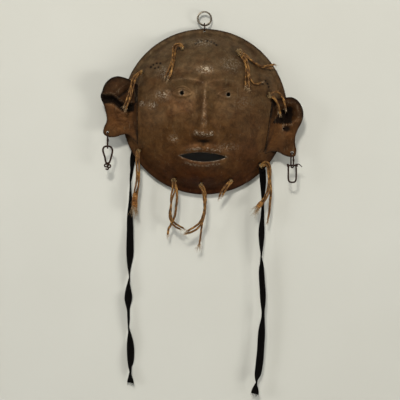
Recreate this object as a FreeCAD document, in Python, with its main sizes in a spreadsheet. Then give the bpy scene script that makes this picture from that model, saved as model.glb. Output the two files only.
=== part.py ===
"""A round mask of hammered sheet iron, with separate sheet ears, twine ties, two long ribbons,
wire earrings, and a split ring that it hangs from. Millimetres, +Z up, the face looks along -Y.
The origin is the centre of the split ring."""

import FreeCAD, Part

import math
import os

import Sketcher
from FreeCAD import Placement, Rotation, Vector

DIMENSIONS = {
    # the face plate: a disc of sheet, domed inside a narrow sloping rim
    "face_radius": 116,
    "face_drop": 130.5,
    "face_tilt": 2,
    "rim_back": 1.3,
    "rim_angle": 15,
    "crease_radius": 108,
    "crease_rise": 2.1,
    "dome_rise": 48,
    "sheet_thick": 1.0,
    # places of the features, from the centre of the face
    "brow_rise": 38.7,
    "eye_spread": 31.5,
    "eye_rise": 20,
    "eye_hole_radius": 2.8,
    "nose_base": -38.7,
    "mouth_rise": -64.4,
    "mouth_half_width": 33,
    "lip_up": 5,
    "lip_down": 7,
    "chin_rise": -92,
    # the ears: sheet plates that lie on the dome and stand out past the rim
    "ear_plane": 15,
    "ear_gap": 0.6,
    "lobe_hole_radius": 2.2,
    # ties and ribbons
    "tie_hole_radius": 1.7,
    "knot_gap": 0.2,
    "knot_neck_radius": 1.2,
    "knot_stopper_radius": 2.4,
    "knot_stopper_depth": 3.8,
    "end_knot_radius": 4.0,
    "ribbon_width": 10.5,
    "ribbon_thick": 1.2,
    # the split ring and the link that joins it to the face
    "ring_inner_radius": 8.3,
    "ring_outer_radius": 10.8,
    "ring_half_thick": 1.1,
    "ring_groove": 0.3,
    "link_wire_radius": 0.8,
    "link_half_width": 2.7,
    "link_top": -6.95,
    "link_bottom": -17.9,
    "link_hole_radius": 1.7,
    # the earrings
    "hook_wire_radius": 0.9,
    "hook_length_left": 21.7,
    "hook_length_right": 20.5,
    "loop_wire_radius": 1.1,
    "hook_half_width_left": 2.6,
    "hook_half_width_right": 3.2,
    "hook_turn_right": 45,
    "twist_radius": 4.0,
    "twist_length": 10,
    "wrap_radius": 1.9,
    "wrap_length": 3,
}

EYES = {"left": -1, "right": 1}

# Where each tie goes through the sheet: x and z.
TIE_HOLES = {
    "brow_left": (-30.1, -47.4),
    "temple_left": (-85.4, -77.3),
    "brow_right": (46.3, -54.1),
    "temple_right": (87.0, -111.1),
    "cheek_left": (-89.5, -184.7),
    "cheek_right": (77.8, -204.4),
    "chin_left": (-41.2, -224.6),
    "chin_middle": (-4.3, -230.8),
    "chin_right": (36.0, -226.0),
}

# The radius of the bead of each knot.
KNOT_RADII = {
    "brow_left": 2.8,
    "temple_left": 2.8,
    "brow_right": 4.2,
    "temple_right": 3.8,
    "cheek_left": 3.2,
    "cheek_right": 4.2,
    "chin_left": 4.0,
    "chin_middle": 3.5,
    "chin_right": 3.1,
}

# Ties that lie on the sheet: the knot, the diameter, and points of x, lift above the sheet, and z.
LYING_TIES = {
    "tie_brow_left": ("brow_left", 5.0, [
        (-32.2, 6.8, -42.4), (-36.4, 7.8, -40.5), (-41.0, 7.0, -43.2), (-42.6, 5.7, -50.0),
        (-42.8, 4.8, -59.0), (-43.7, 4.2, -69.2), (-46.6, 3.8, -79.6), (-51.6, 3.6, -90.0)]),
    "tie_brow_right_long": ("brow_right", 5.0, [
        (55.0, 6.0, -59.6), (57.3, 4.8, -69.2), (58.2, 4.2, -80.6), (58.4, 3.8, -92.0),
        (57.0, 3.6, -102.8)]),
    "tie_brow_right_side": ("brow_right", 2.2, [
        (57.4, 5.2, -62.2), (60.7, 3.6, -74.5), (61.5, 2.8, -86.7), (64.9, 2.6, -94.6),
        (71.2, 2.8, -97.0), (77.6, 3.0, -93.4)]),
    "tie_brow_right_out": ("brow_right", 4.4, [
        (55.6, 6.6, -54.6), (62.3, 5.2, -61.4), (69.9, 4.6, -67.3), (79.2, 4.4, -70.0),
        (88.7, 4.8, -69.2), (97.3, 5.4, -67.6)]),
}

# Ties that hang free or cross from sheet to sheet: the knot, the diameter, and points of x, y and z.
FREE_TIES = {
    "tie_temple_left": ("temple_left", 4.6, [
        (-90.7, -16.5, -79.5), (-95.0, -19.5, -84.2), (-98.3, -23.2, -91.6), (-100.4, -26.8, -101.2),
        (-102.0, -28.8, -111.3), (-105.2, -29.0, -120.3), (-109.3, -27.0, -128.3)]),
    "tie_temple_right_outer": ("temple_right", 2.8, [
        (93.0, -25.2, -106.3), (98.1, -24.2, -104.9), (103.4, -23.2, -107.4), (107.6, -23.2, -113.6),
        (110.4, -23.6, -120.8), (111.5, -22.2, -128.1)]),
    "tie_temple_right_inner": ("temple_right", 4.0, [
        (95.3, -23.4, -112.9), (99.5, -22.4, -119.3), (102.1, -21.6, -127.4), (103.2, -19.4, -135.4)]),
    "tie_cheek_left": ("cheek_left", 5.0, [
        (-92.5, -10.6, -195.8), (-93.5, -10.2, -208.3), (-92.3, -9.6, -220.8), (-92.7, -9.2, -233.3),
        (-95.4, -9.2, -244.8), (-97.4, -9.4, -255.4), (-97.2, -9.4, -265.4)]),
    "tie_cheek_right": ("cheek_right", 5.0, [
        (83.6, -9.6, -201.4), (88.4, -10.8, -204.0), (89.9, -11.0, -211.5), (89.5, -11.0, -221.8),
        (89.3, -11.0, -231.8), (89.4, -11.0, -241.4), (86.2, -11.0, -249.9), (80.3, -11.0, -256.7),
        (74.0, -10.8, -263.8)]),
    "tie_cheek_right_tail": ("cheek_right", 2.8, [
        (84.6, -8.2, -201.6), (89.6, -8.6, -203.8), (91.8, -8.4, -211.5), (92.6, -8.4, -226.0),
        (92.4, -8.2, -243.7), (91.3, -8.2, -258.3), (89.8, -8.2, -272.2), (87.6, -8.2, -283.6)]),
    "tie_chin_left": ("chin_left", 4.2, [
        (-41.6, -15.2, -238.6), (-45.5, -14.6, -250.8), (-46.6, -13.8, -262.4),
        (-48.1, -13.4, -273.9), (-45.1, -13.4, -283.8), (-38.5, -13.6, -290.7),
        (-29.9, -13.4, -294.9)]),
    "tie_chin_left_end": ("chin_left", 3.0, [
        (-38.4, -12.0, -237.6), (-37.8, -10.8, -250.2), (-39.3, -9.8, -263.8),
        (-40.6, -9.2, -276.5), (-45.1, -8.8, -286.8), (-51.0, -8.8, -294.3), (-51.4, -9.0, -301.6)]),
    "tie_chin_middle": ("chin_middle", 4.6, [
        (-0.3, -19.6, -240.6), (0.8, -18.4, -251.5), (1.3, -17.6, -262.4), (-0.1, -17.2, -273.9),
        (-4.0, -17.2, -283.8), (-10.1, -17.4, -291.2), (-17.8, -17.8, -296.4),
        (-26.3, -17.8, -299.4)]),
    "tie_chin_middle_tail": ("chin_middle", 2.4, [
        (-2.0, -15.4, -242.4), (-0.7, -13.8, -256.3), (-0.5, -12.8, -270.4), (-2.3, -12.2, -284.8),
        (-4.5, -11.8, -299.3), (-7.3, -11.4, -313.4)]),
    "tie_chin_right": ("chin_right", 4.6, [
        (31.5, -14.6, -233.6), (26.6, -13.2, -241.8), (21.6, -12.4, -249.8)]),
}

# The knot near the far end of a tie: x, y and z.
END_KNOTS = {
    "tie_cheek_left": (-97.3, -9.4, -254.6),
    "tie_cheek_right": (76.2, -11.0, -261.2),
}

# The ribbons hang in planes of constant y: points of x and z from the top down.
RIBBON_PLANES = {"left": 2.35, "right": -5.2}
RIBBON_ROUTES = {
    "left": [
        (-92.4, -172.0), (-99.4, -188.5), (-103.4, -217.0), (-104.4, -256.0), (-105.8, -300.0),
        (-104.2, -345.0), (-106.4, -387.0), (-105.6, -425.0), (-103.2, -466.0), (-103.8, -510.5)],
    "right": [
        (80.6, -211.5), (83.0, -232.0), (82.4, -266.0), (80.2, -308.0), (80.2, -352.0),
        (82.4, -397.0), (79.4, -441.0), (76.4, -484.0), (71.8, -524.5)],
}
RIBBON_KNOTS = {
    "left": ((-88.6, -1.6, -182.0), (-91.6, 0.2, -171.5), 2.4),
    "right": ((78.6, -6.6, -209.4), (81.6, -5.6, -212.6), 2.7),
}

# Ear outlines from the top of the straight inner edge, round the outside, to its foot: x, and the
# rise from the centre of the face.
EAR_OUTLINES = {
    "left": [
        (-92.5, 36.1), (-100.8, 41.3), (-110.3, 45.4), (-120.5, 47.1), (-130.1, 43.8), (-137.4, 36.0),
        (-141.1, 26.2), (-143.5, 19.4), (-140.1, 10.0), (-136.8, -1.8), (-135.3, -13.5),
        (-139.3, -23.4), (-139.8, -31.7), (-132.9, -36.4), (-123.1, -36.3), (-113.6, -33.3),
        (-106.4, -33.1), (-99.7, -38.9), (-92.8, -45.8)],
    "right": [
        (94.0, 17.3), (103.1, 17.0), (112.7, 18.2), (121.9, 18.2), (129.8, 13.0), (135.0, 4.1),
        (136.7, -5.6), (134.3, -16.3), (129.3, -26.0), (125.8, -35.9), (125.6, -46.2),
        (127.3, -55.0), (125.0, -63.0), (118.0, -64.0), (109.7, -61.6), (102.5, -57.5),
        (94.0, -56.6), (83.7, -59.4)],
}
# The openings of the ears: x, rise and radius.
CANALS = {
    "left": [(-103.4, 4.3, 4.2)],
    "right": [(110.8, -2.6, 4.6), (111.0, -10.2, 4.8), (111.0, -24.8, 2.8)],
}
LOBE_HOLES = {"left": (-134.1, -30.0), "right": (121.4, -58.3)}

EAR_LIMITS = {"left": (-150.0, -86.0, -52.0, 58.0), "right": (76.0, 146.0, -72.0, 28.0)}
FACE_GRID = 3.7
EAR_GRID = 2.4


document = FreeCAD.newDocument("iron_mask")
for name, radius in KNOT_RADII.items():
    DIMENSIONS[f"knot_{name}_radius"] = radius
for side, openings in CANALS.items():
    for number, (_, _, radius) in enumerate(openings, start=1):
        DIMENSIONS[f"canal_{side}_{number}_radius"] = radius
sheet = document.addObject("Spreadsheet::Sheet", "dimensions")
for row, (alias, value) in enumerate(DIMENSIONS.items(), start=1):
    sheet.set(f"A{row}", alias)
    sheet.set(f"B{row}", str(value))
    sheet.setAlias(f"B{row}", alias)
document.recompute()


def size(alias):
    """A driving dimension, read from the sheet."""
    return float(getattr(sheet, alias))


def smooth_step(value):
    """0 below 0, 1 above 1, and a smooth curve between."""
    value = min(max(value, 0.0), 1.0)
    return value * value * (3 - 2 * value)


def soft_max(one, other, width):
    """The larger of two heights, with a rounded corner of this width where they cross."""
    return max(one, other) + width * math.log1p(math.exp(-abs(one - other) / width))


def hill(across, up, spread_across, spread_up):
    """A smooth round hill, 1 high at its middle."""
    return math.exp(-((across / spread_across) ** 2) - (up / spread_up) ** 2)


FACE_RADIUS = size("face_radius")
RIM_SLOPE = math.tan(math.radians(size("rim_angle")))
CREASE_RADIUS = size("crease_radius")
CREASE_RISE = size("crease_rise")
DOME_RISE = size("dome_rise")
TILT_SINE = math.sin(math.radians(size("face_tilt")))
TILT_COSINE = math.cos(math.radians(size("face_tilt")))
BROW = size("brow_rise")
EYE_SPREAD = size("eye_spread")
EYE = size("eye_rise")
NOSE_BASE = size("nose_base")
MOUTH = size("mouth_rise")
MOUTH_HALF_WIDTH = size("mouth_half_width")
LIP_UP = size("lip_up")
LIP_DOWN = size("lip_down")
CHIN = size("chin_rise")
FACE_DROP = size("face_drop")
RIM_BACK = size("rim_back")
SHEET_THICK = size("sheet_thick")
EAR_PLANE = size("ear_plane")
EAR_GAP = size("ear_gap")


def brow_relief(side, up):
    """An even arched ridge over each eye."""
    arch = BROW - 5.5 * ((side - 27) / 27) ** 2
    return 3.4 * math.exp(-(((up - arch) / 7) ** 2) - ((side - 25) / 29) ** 4)


def eye_relief(side, up):
    """A shallow socket with the eyeball standing in it."""
    across = side - EYE_SPREAD
    up = up - EYE
    return 5.0 * hill(across, up, 12, 8.5) - 6.0 * hill(across, up + 0.5, 19, 13)


def nose_relief(side, up):
    """A ridge that widens and rises from between the brows to the tip, with a wing on each side."""
    bridge = BROW - 8
    down = (bridge - up) / (bridge - NOSE_BASE)
    along = min(max(down, 0.0), 1.0)
    ends = smooth_step((down + 0.3) / 0.45) * smooth_step((1.1 - down) / 0.17)
    ridge = (3.5 + 11.5 * along**1.2) * math.exp(-abs(side / (6.5 + 4.5 * along)) ** 2.2)
    return ends * ridge + 4.4 * hill(side - 11.5, up - NOSE_BASE - 6, 5.5, 6.5)


def mouth_relief(side, up):
    """A full upper and lower lip round the slit, and a dip under the nose."""
    lens = max(0.0, 1 - (side / MOUTH_HALF_WIDTH) ** 2)
    width = math.exp(-((side / 31) ** 4))
    above = up - MOUTH - LIP_UP * lens - 4.5
    below = up - MOUTH + LIP_DOWN * lens + 5.5
    lips = 4.2 * math.exp(-((above / 5.5) ** 2)) + 4.8 * math.exp(-((below / 6.0) ** 2))
    return width * lips - 1.6 * hill(side, up - (NOSE_BASE + MOUTH) / 2 - 1, 4.5, 6)


def face_back(x, z):
    """Height of the back of the face sheet in front of the plane of its rim."""
    rise = z + FACE_DROP
    side = abs(x * TILT_COSINE - rise * TILT_SINE)
    up = x * TILT_SINE + rise * TILT_COSINE
    radius = math.hypot(x, rise)
    share = (radius / CREASE_RADIUS) ** 2
    rim = (FACE_RADIUS - radius) * RIM_SLOPE
    dome = CREASE_RISE + DOME_RISE * (1 - share) * (1 + 0.5 * share)
    dome += brow_relief(side, up) + eye_relief(side, up) + nose_relief(side, up)
    dome += mouth_relief(side, up) + 5.5 * hill(side, up - CHIN, 20, 11)
    dome += 3.5 * hill(side - 47, up + 14, 20, 20)
    return soft_max(rim, dome, 1.5)


def left_ear_relief(x, rise):
    """A hooded upper shell over a dark fold, with a ridge that runs in towards the face."""
    fold = 9.5 + 11.5 * smooth_step((-111 - x) / 18)
    over = smooth_step((rise - fold) / 5 + 0.5)
    bowl = max(0.0, 1 - ((x + 122) / 31) ** 2 - ((rise - 17) / 37) ** 2)
    hood = 9 * over * bowl**0.8
    ridge = 2.2 * over * math.exp(-(((x + 125) * 0.67 - (rise - 20.6) * 0.75) / 3.2) ** 2)
    reach = smooth_step((x + 146) / 8) * smooth_step((-97 - x) / 8)
    under = -5.5 * reach * math.exp(-(((rise - fold + 5.5) / 4.2) ** 2))
    return hood + ridge * bowl + under


def right_ear_relief(x, rise):
    """A rolled edge round a deep hollow, running down to the lobe."""
    across = x - 116
    up = rise + 4
    radius = math.hypot(across, up)
    turn = smooth_step((across + 6) / 12) + 0.7 * smooth_step((up - 2) / 10)
    roll = 6.0 * min(turn, 1.0) * math.exp(-(((radius - 14.5) / 6.5) ** 2))
    hollow = -11.0 * hill(across + 3, up + 1.5, 9, 12)
    neck = 2.0 * hill(x - 118, rise + 34, 9, 14)
    return roll + hollow + neck


EAR_RELIEF = {"left": left_ear_relief, "right": right_ear_relief}


def ear_back(side, x, z):
    """Height of the back of an ear: it follows the dome, then stands out past the rim."""
    own = EAR_PLANE + EAR_RELIEF[side](x, z + FACE_DROP)
    return soft_max(own, face_back(x, z) + SHEET_THICK + EAR_GAP, 1.2)


def skin(x, z):
    """Height of the front that shows here: an ear's outside its inner edge, else the face's."""
    if x < EAR_OUTLINES["left"][0][0] and z < EAR_OUTLINES["left"][1][1] - FACE_DROP:
        return ear_back("left", x, z) + SHEET_THICK
    if x > EAR_OUTLINES["right"][0][0] and z < EAR_OUTLINES["right"][0][1] - FACE_DROP:
        return ear_back("right", x, z) + SHEET_THICK
    return face_back(x, z) + SHEET_THICK


def outward(height, x, z):
    """The direction that a sheet of this height faces at a point."""
    step = 0.5
    slope_x = (height(x + step, z) - height(x - step, z)) / (2 * step)
    slope_z = (height(x, z + step) - height(x, z - step)) / (2 * step)
    return Vector(-slope_x, -1, -slope_z).normalize()


def front_point(x, z):
    """The point on the front of the face sheet at x and z."""
    return Vector(x, RIM_BACK - face_back(x, z) - SHEET_THICK, z)


def feature(label, shape):
    """A document object that holds a shape made here."""
    made = document.addObject("Part::Feature", label)
    made.Label = label
    made.Shape = shape
    return made


def primitive(kind, label, sizes, placement=None):
    """A Part primitive whose sizes are bound to cells or expressions of the sheet."""
    made = document.addObject(kind, label)
    made.Label = label
    for name, expression in sizes.items():
        made.setExpression(name, expression)
    if placement:
        made.Placement = placement
    return made


def cell(alias):
    """The expression that names a cell of the sheet."""
    return f"dimensions.{alias}"


def sheet_blank(label, height, limits, spacing):
    """Sheet metal pressed to a height over a rectangle of x and z, as one smooth surface."""
    x_low, x_high, z_low, z_high = limits
    columns = math.ceil((x_high - x_low) / spacing)
    rows = math.ceil((z_high - z_low) / spacing)
    grid = []
    for i in range(columns + 1):
        x = x_low + (x_high - x_low) * i / columns
        heights = [z_low + (z_high - z_low) * j / rows for j in range(rows + 1)]
        grid.append([Vector(x, RIM_BACK - height(x, z), z) for z in heights])
    surface = Part.BSplineSurface()
    surface.interpolate(grid)
    return feature(label, surface.toShape().extrude(Vector(0, -SHEET_THICK, 0)))


def along(direction):
    """The rotation that turns +Z to a direction."""
    return Rotation(Vector(0, 0, 1), direction)


def drill(label, point, direction, radius):
    """A cylinder through the sheet at a point, its radius in a cell or an expression."""
    reach = 8
    placement = Placement(point - direction * reach, along(direction))
    return primitive("Part::Cylinder", label, {"Radius": radius, "Height": str(2 * reach)}, placement)


def cut(label, base, tools):
    """A sheet with all its holes cut out."""
    joined = document.addObject("Part::MultiFuse", label + "_holes")
    joined.Shapes = tools
    made = document.addObject("Part::Cut", label)
    made.Label = label
    made.Base = base
    made.Tool = joined
    return made


def mouth_tool():
    """The mouth slit: two arcs that meet at the corners, as a prism through the sheet."""
    def at(across, rise):
        x = across * TILT_COSINE + rise * TILT_SINE
        z = rise * TILT_COSINE - across * TILT_SINE
        return Vector(x, RIM_BACK, z - FACE_DROP)

    left = at(-MOUTH_HALF_WIDTH, MOUTH)
    right = at(MOUTH_HALF_WIDTH, MOUTH)
    upper = Part.Arc(left, at(0, MOUTH + LIP_UP), right)
    lower = Part.Arc(right, at(0, MOUTH - LIP_DOWN), left)
    outline = Part.Wire([upper.toShape(), lower.toShape()])
    return feature("mouth_slit", Part.Face(outline).extrude(Vector(0, -80, 0)))


def make_face_plate():
    """The domed disc with its eye holes, mouth slit and tie holes."""
    reach = FACE_RADIUS + 4
    limits = (-reach, reach, -reach - FACE_DROP, reach - FACE_DROP)
    blank = sheet_blank("face_blank", face_back, limits, FACE_GRID)
    turn_back = Rotation(Vector(0, 0, 1), Vector(0, -1, 0))
    disc = primitive(
        "Part::Cylinder", "face_disc", {"Radius": cell("face_radius"), "Height": "90"},
        Placement(Vector(0, 10, -FACE_DROP), turn_back))
    pressed = document.addObject("Part::Common", "face_pressed")
    pressed.Base = blank
    pressed.Tool = disc
    tools = [mouth_tool()]
    for name, side in EYES.items():
        across = side * EYE_SPREAD
        x = across * TILT_COSINE + EYE * TILT_SINE
        z = EYE * TILT_COSINE - across * TILT_SINE - FACE_DROP
        point = front_point(x, z)
        tools.append(drill(f"eye_hole_{name}", point, Vector(0, -1, 0), cell("eye_hole_radius")))
    for name, (x, z) in TIE_HOLES.items():
        point = front_point(x, z)
        tools.append(drill(f"hole_{name}", point, outward(face_back, x, z), cell("tie_hole_radius")))
    link_point = front_point(0, size("link_bottom"))
    tools.append(drill("link_hole", link_point, Vector(0, -1, 0), cell("link_hole_radius")))
    return cut("face_plate", pressed, tools)


def make_ear(side):
    """An ear plate: its outline cut from pressed sheet, with its openings and the lobe hole."""
    x_low, x_high, rise_low, rise_high = EAR_LIMITS[side]
    limits = (x_low, x_high, rise_low - FACE_DROP, rise_high - FACE_DROP)

    def height(x, z):
        return ear_back(side, x, z)

    blank = sheet_blank(f"ear_{side}_blank", height, limits, EAR_GRID)
    points = [Vector(x, RIM_BACK, rise - FACE_DROP) for x, rise in EAR_OUTLINES[side]]
    outer = Part.BSplineCurve()
    outer.interpolate(points)
    inner = Part.LineSegment(points[-1], points[0])
    outline = Part.Face(Part.Wire([outer.toShape(), inner.toShape()]))
    prism = feature(f"ear_{side}_outline", outline.extrude(Vector(0, -80, 0)))
    pressed = document.addObject("Part::Common", f"ear_{side}_pressed")
    pressed.Base = blank
    pressed.Tool = prism
    holes = [(f"lobe_hole_{side}", *LOBE_HOLES[side], "lobe_hole_radius")]
    for number, (x, rise, _) in enumerate(CANALS[side], start=1):
        holes.append((f"canal_{side}_{number}", x, rise, f"canal_{side}_{number}_radius"))
    tools = []
    for name, x, rise, radius in holes:
        z = rise - FACE_DROP
        point = Vector(x, RIM_BACK - height(x, z) - SHEET_THICK, z)
        tools.append(drill(name, point, Vector(0, -1, 0), cell(radius)))
    return cut(f"ear_{side}", pressed, tools)


def knot_frame(name):
    """The place of a knot: on the sheet at its hole, its own +Z outward."""
    x, z = TIE_HOLES[name]
    return Placement(front_point(x, z), along(outward(face_back, x, z)))


def knot_lift(name):
    """How far the middle of the bead of a knot stands off the sheet."""
    return size(f"knot_{name}_radius") + size("knot_gap")


def knot_middle(name):
    """The middle of the bead of a knot, where its ties start."""
    return knot_frame(name).multVec(Vector(0, 0, knot_lift(name)))


def make_knot(name):
    """A knot in front of the sheet and its stopper behind, joined by a neck through the hole."""
    label = f"knot_{name}"
    neck_foot = Vector(0, 0, -size("knot_stopper_depth"))
    radius = cell(f"knot_{name}_radius")
    neck_length = f"{radius} + {cell('knot_gap')} + {cell('knot_stopper_depth')}"
    bead = primitive(
        "Part::Sphere", label + "_bead", {"Radius": radius},
        Placement(Vector(0, 0, knot_lift(name)), Rotation()))
    neck = primitive(
        "Part::Cylinder", label + "_neck",
        {"Radius": cell("knot_neck_radius"), "Height": neck_length},
        Placement(neck_foot, Rotation()))
    stopper = primitive(
        "Part::Sphere", label + "_stopper", {"Radius": cell("knot_stopper_radius")},
        Placement(neck_foot, Rotation()))
    made = document.addObject("Part::MultiFuse", label)
    made.Label = label
    made.Shapes = [bead, neck, stopper]
    made.Placement = knot_frame(name)
    return made


def rounded_path(points, radii=None, closed=False):
    """Straight runs joined by tangent arcs, as one wire. With no radii, each arc is as large as its
    two runs allow. Returns the wire, its length and its smallest radius."""
    count = len(points)
    corners = range(count) if closed else range(1, count - 1)
    joins = {}
    for i in corners:
        before = points[i - 1]
        here = points[i]
        after = points[(i + 1) % count]
        arriving = (here - before).normalize()
        leaving = (after - here).normalize()
        half_turn = arriving.getAngle(leaving) / 2
        shorter = min((here - before).Length, (after - here).Length)
        reach = radii[i] * math.tan(half_turn) if radii else 0.45 * shorter
        radius = reach / math.tan(half_turn)
        start = here - arriving * reach
        end = here + leaving * reach
        inward = (leaving - arriving).normalize()
        middle = here + inward * (radius / math.cos(half_turn) - radius)
        joins[i] = (start, middle, end, radius)
    edges = []
    for i in range(count if closed else count - 1):
        following = (i + 1) % count
        run_start = joins[i][2] if i in joins else points[i]
        run_end = joins[following][0] if following in joins else points[following]
        edges.append(Part.LineSegment(run_start, run_end).toShape())
        if following in joins:
            start, middle, end, radius = joins[following]
            edges.append(Part.Arc(start, middle, end).toShape())
    wire = Part.Wire(edges)
    return wire, wire.Length, min(join[3] for join in joins.values())


def round_tube(wire, radius):
    """A round wire or cord along a path."""
    first = wire.Edges[0]
    start = first.valueAt(first.FirstParameter)
    direction = first.tangentAt(first.FirstParameter)
    profile = Part.Wire([Part.Circle(start, direction, radius).toShape()])
    return wire.makePipeShell([profile], True, False)


def check_volume(label, shape, section, length):
    """Stops where a swept solid doesn't hold its section times its length."""
    share = abs(shape.Volume) / (section * length)
    if not 0.97 < share < 1.03:
        raise ValueError(f"{label} holds {share:.3f} of its section times its length")


def make_cord(label, diameter, points):
    """One twine tie as a plain round tube along its route."""
    wire, length, tightest = rounded_path(points)
    shape = round_tube(wire, diameter / 2)
    check_volume(label, shape, math.pi * diameter**2 / 4, length)
    print(f"{label}: {length:.1f} mm long, {diameter} mm thick, smallest radius {tightest:.1f} mm")
    return feature(label, shape)


def lying_route(knot, points):
    """The route of a tie that lies on the sheet, from the middle of its knot."""
    lying = [Vector(x, RIM_BACK - skin(x, z) - lift, z) for x, lift, z in points]
    return [knot_middle(knot)] + lying


def free_route(knot, points):
    """The route of a tie that hangs or crosses freely, from the middle of its knot."""
    return [knot_middle(knot)] + [Vector(*point) for point in points]


def make_end_knot(tie, place):
    """The knot in the far end of a tie."""
    label = tie.replace("tie_", "end_knot_")
    made = primitive("Part::Sphere", label, {"Radius": cell("end_knot_radius")})
    made.Placement = Placement(Vector(*place), Rotation())
    return made


def make_ribbon(side):
    """A flat ribbon that hangs in a plane, as a band of its width along its route."""
    plane = RIBBON_PLANES[side]
    label = f"ribbon_{side}"
    width = size("ribbon_width")
    thick = size("ribbon_thick")
    points = [Vector(x, plane, z) for x, z in RIBBON_ROUTES[side]]
    wire, length, tightest = rounded_path(points)
    across = Vector(0, 1, 0).cross((points[1] - points[0]).normalize()) * (width / 2)
    out = Vector(0, thick / 2, 0)
    corners = [across + out, across - out, -across - out, -across + out]
    section = Part.makePolygon([points[0] + corner for corner in corners + corners[:1]])
    sweep = Part.BRepOffsetAPI.MakePipeShell(wire)
    sweep.setBiNormalMode(Vector(0, 1, 0))
    sweep.add(section)
    sweep.build()
    sweep.makeSolid()
    shape = sweep.shape()
    check_volume(label, shape, width * thick, length)
    print(f"{label}: {length:.1f} mm long, {width} mm wide, smallest radius {tightest:.1f} mm")
    return feature(label, shape)


def make_ribbon_knot(side):
    """The knot that holds the top of a ribbon to its tie: a lump with round ends."""
    start, end, radius = RIBBON_KNOTS[side]
    start = Vector(*start)
    end = Vector(*end)
    axis = end - start
    body = Part.makeCylinder(radius, axis.Length, start, axis)
    lump = body.fuse([Part.makeSphere(radius, start), Part.makeSphere(radius, end)])
    return feature(f"ribbon_knot_{side}", lump.removeSplitter())


def held_sketch(body, name):
    """A sketch on the body's own XY plane."""
    sketch = body.newObject("Sketcher::SketchObject", name)
    planes = [item for item in body.Origin.OriginFeatures if item.Role == "XY_Plane"]
    sketch.AttachmentSupport = [(planes[0], "")]
    sketch.MapMode = "FlatFace"
    return sketch


def outline_sketch(body, name, corners):
    """A closed outline, each corner held by two distances from the origin, bound to expressions."""
    sketch = held_sketch(body, name)
    places = [Vector(x, y, 0) for x, y, _, _ in corners]
    for i, place in enumerate(places):
        sketch.addGeometry(Part.LineSegment(place, places[(i + 1) % len(places)]), False)
    for i in range(len(places)):
        following = (i + 1) % len(places)
        sketch.addConstraint(Sketcher.Constraint("Coincident", i, 2, following, 1))
    for i, (x, y, x_rule, y_rule) in enumerate(corners):
        for kind, value, rule in (("DistanceX", x, x_rule), ("DistanceY", y, y_rule)):
            index = sketch.addConstraint(Sketcher.Constraint(kind, -1, 1, i, 1, value))
            sketch.setExpression(f"Constraints[{index}]", rule)
    return sketch


def make_split_ring():
    """Two flat coils of wire side by side: a revolved section with a groove between the coils."""
    body = document.addObject("PartDesign::Body", "split_ring")
    body.Label = "split_ring"
    inner = size("ring_inner_radius")
    outer = size("ring_outer_radius")
    half = size("ring_half_thick")
    groove = size("ring_groove")
    inner_rule = cell("ring_inner_radius")
    outer_rule = cell("ring_outer_radius")
    half_rule = cell("ring_half_thick")
    groove_rule = cell("ring_groove")
    section = outline_sketch(body, "ring_section", [
        (inner, -half, inner_rule, f"-{half_rule}"),
        (outer, -half, outer_rule, f"-{half_rule}"),
        (outer, half, outer_rule, half_rule),
        (inner, half, inner_rule, half_rule)])
    ring = body.newObject("PartDesign::Revolution", "ring_coils")
    ring.Profile = section
    ring.ReferenceAxis = (section, ["V_Axis"])
    ring.Angle = 360
    document.recompute()
    notch = outline_sketch(body, "ring_notch", [
        (outer - groove, 0.01, f"{outer_rule} - {groove_rule}", "0.01"),
        (outer + groove, -groove, f"{outer_rule} + {groove_rule}", f"-{groove_rule}"),
        (outer + groove, groove, f"{outer_rule} + {groove_rule}", groove_rule)])
    cut_round = body.newObject("PartDesign::Groove", "ring_groove_cut")
    cut_round.Profile = notch
    cut_round.ReferenceAxis = (notch, ["V_Axis"])
    cut_round.Angle = 360
    document.recompute()
    if not cut_round.Shape.Volume < ring.Shape.Volume:
        raise ValueError("the groove of the split ring cuts nothing")
    return body


def loop_points(centre, across, half_top, half_bottom, top, bottom):
    """The corners of a hanging loop of wire, from the middle of one side: two wide, two low."""
    def at(distance, z):
        return centre + across * distance + Vector(0, 0, z)

    return [at(-half_top, top), at(half_top, top), at(half_bottom, bottom), at(-half_bottom, bottom)]


def make_link(label, centre, across, half_width, top, bottom, wire_radius):
    """A long link of wire, closed, with nearly round ends."""
    points = loop_points(centre, across, half_width, half_width, top, bottom)
    bend = half_width - 0.1
    wire, length, _ = rounded_path(points, [bend] * 4, closed=True)
    shape = round_tube(wire, wire_radius)
    check_volume(label, shape, math.pi * wire_radius**2, length)
    return feature(label, shape)


def lobe_point(side):
    """The middle of the sheet at the hole in an ear's lobe."""
    x, rise = LOBE_HOLES[side]
    z = rise - FACE_DROP
    return Vector(x, RIM_BACK - ear_back(side, x, z) - SHEET_THICK / 2, z)


def make_hanger_link():
    """The link that joins the split ring to the hole at the top of the face."""
    return make_link(
        "hanger_link", Vector(0, 0, 0), Vector(0, 1, 0), size("link_half_width"),
        size("link_top"), size("link_bottom"), size("link_wire_radius"))


def hook_direction(side):
    """The way across a hook, seen from above."""
    turn = 0 if side == "left" else math.radians(size("hook_turn_right"))
    return Vector(math.sin(turn), math.cos(turn), 0)


def make_hook(side):
    """The hook that hangs in the hole of a lobe."""
    return make_link(
        f"earring_hook_{side}", lobe_point(side), hook_direction(side),
        size(f"hook_half_width_{side}"), 0, -size(f"hook_length_{side}"), size("hook_wire_radius"))


def loop_top(side):
    """The middle of the top wire of an earring's loop, where it hangs in its hook."""
    drop = size(f"hook_length_{side}") - size(f"hook_half_width_{side}")
    return lobe_point(side) - Vector(0, 0, drop)


def make_loop_wire(side, half_top, half_bottom, foot, bends):
    """The closed wire of an earring's loop, with a bend of its own radius at each corner."""
    points = loop_points(loop_top(side), Vector(1, 0, 0), half_top, half_bottom, 0, foot)
    wire, length, _ = rounded_path(points, bends, closed=True)
    radius = size("loop_wire_radius")
    shape = round_tube(wire, radius)
    check_volume(f"earring_loop_{side}", shape, math.pi * radius**2, length)
    return feature(f"earring_wire_{side}", shape)


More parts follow.
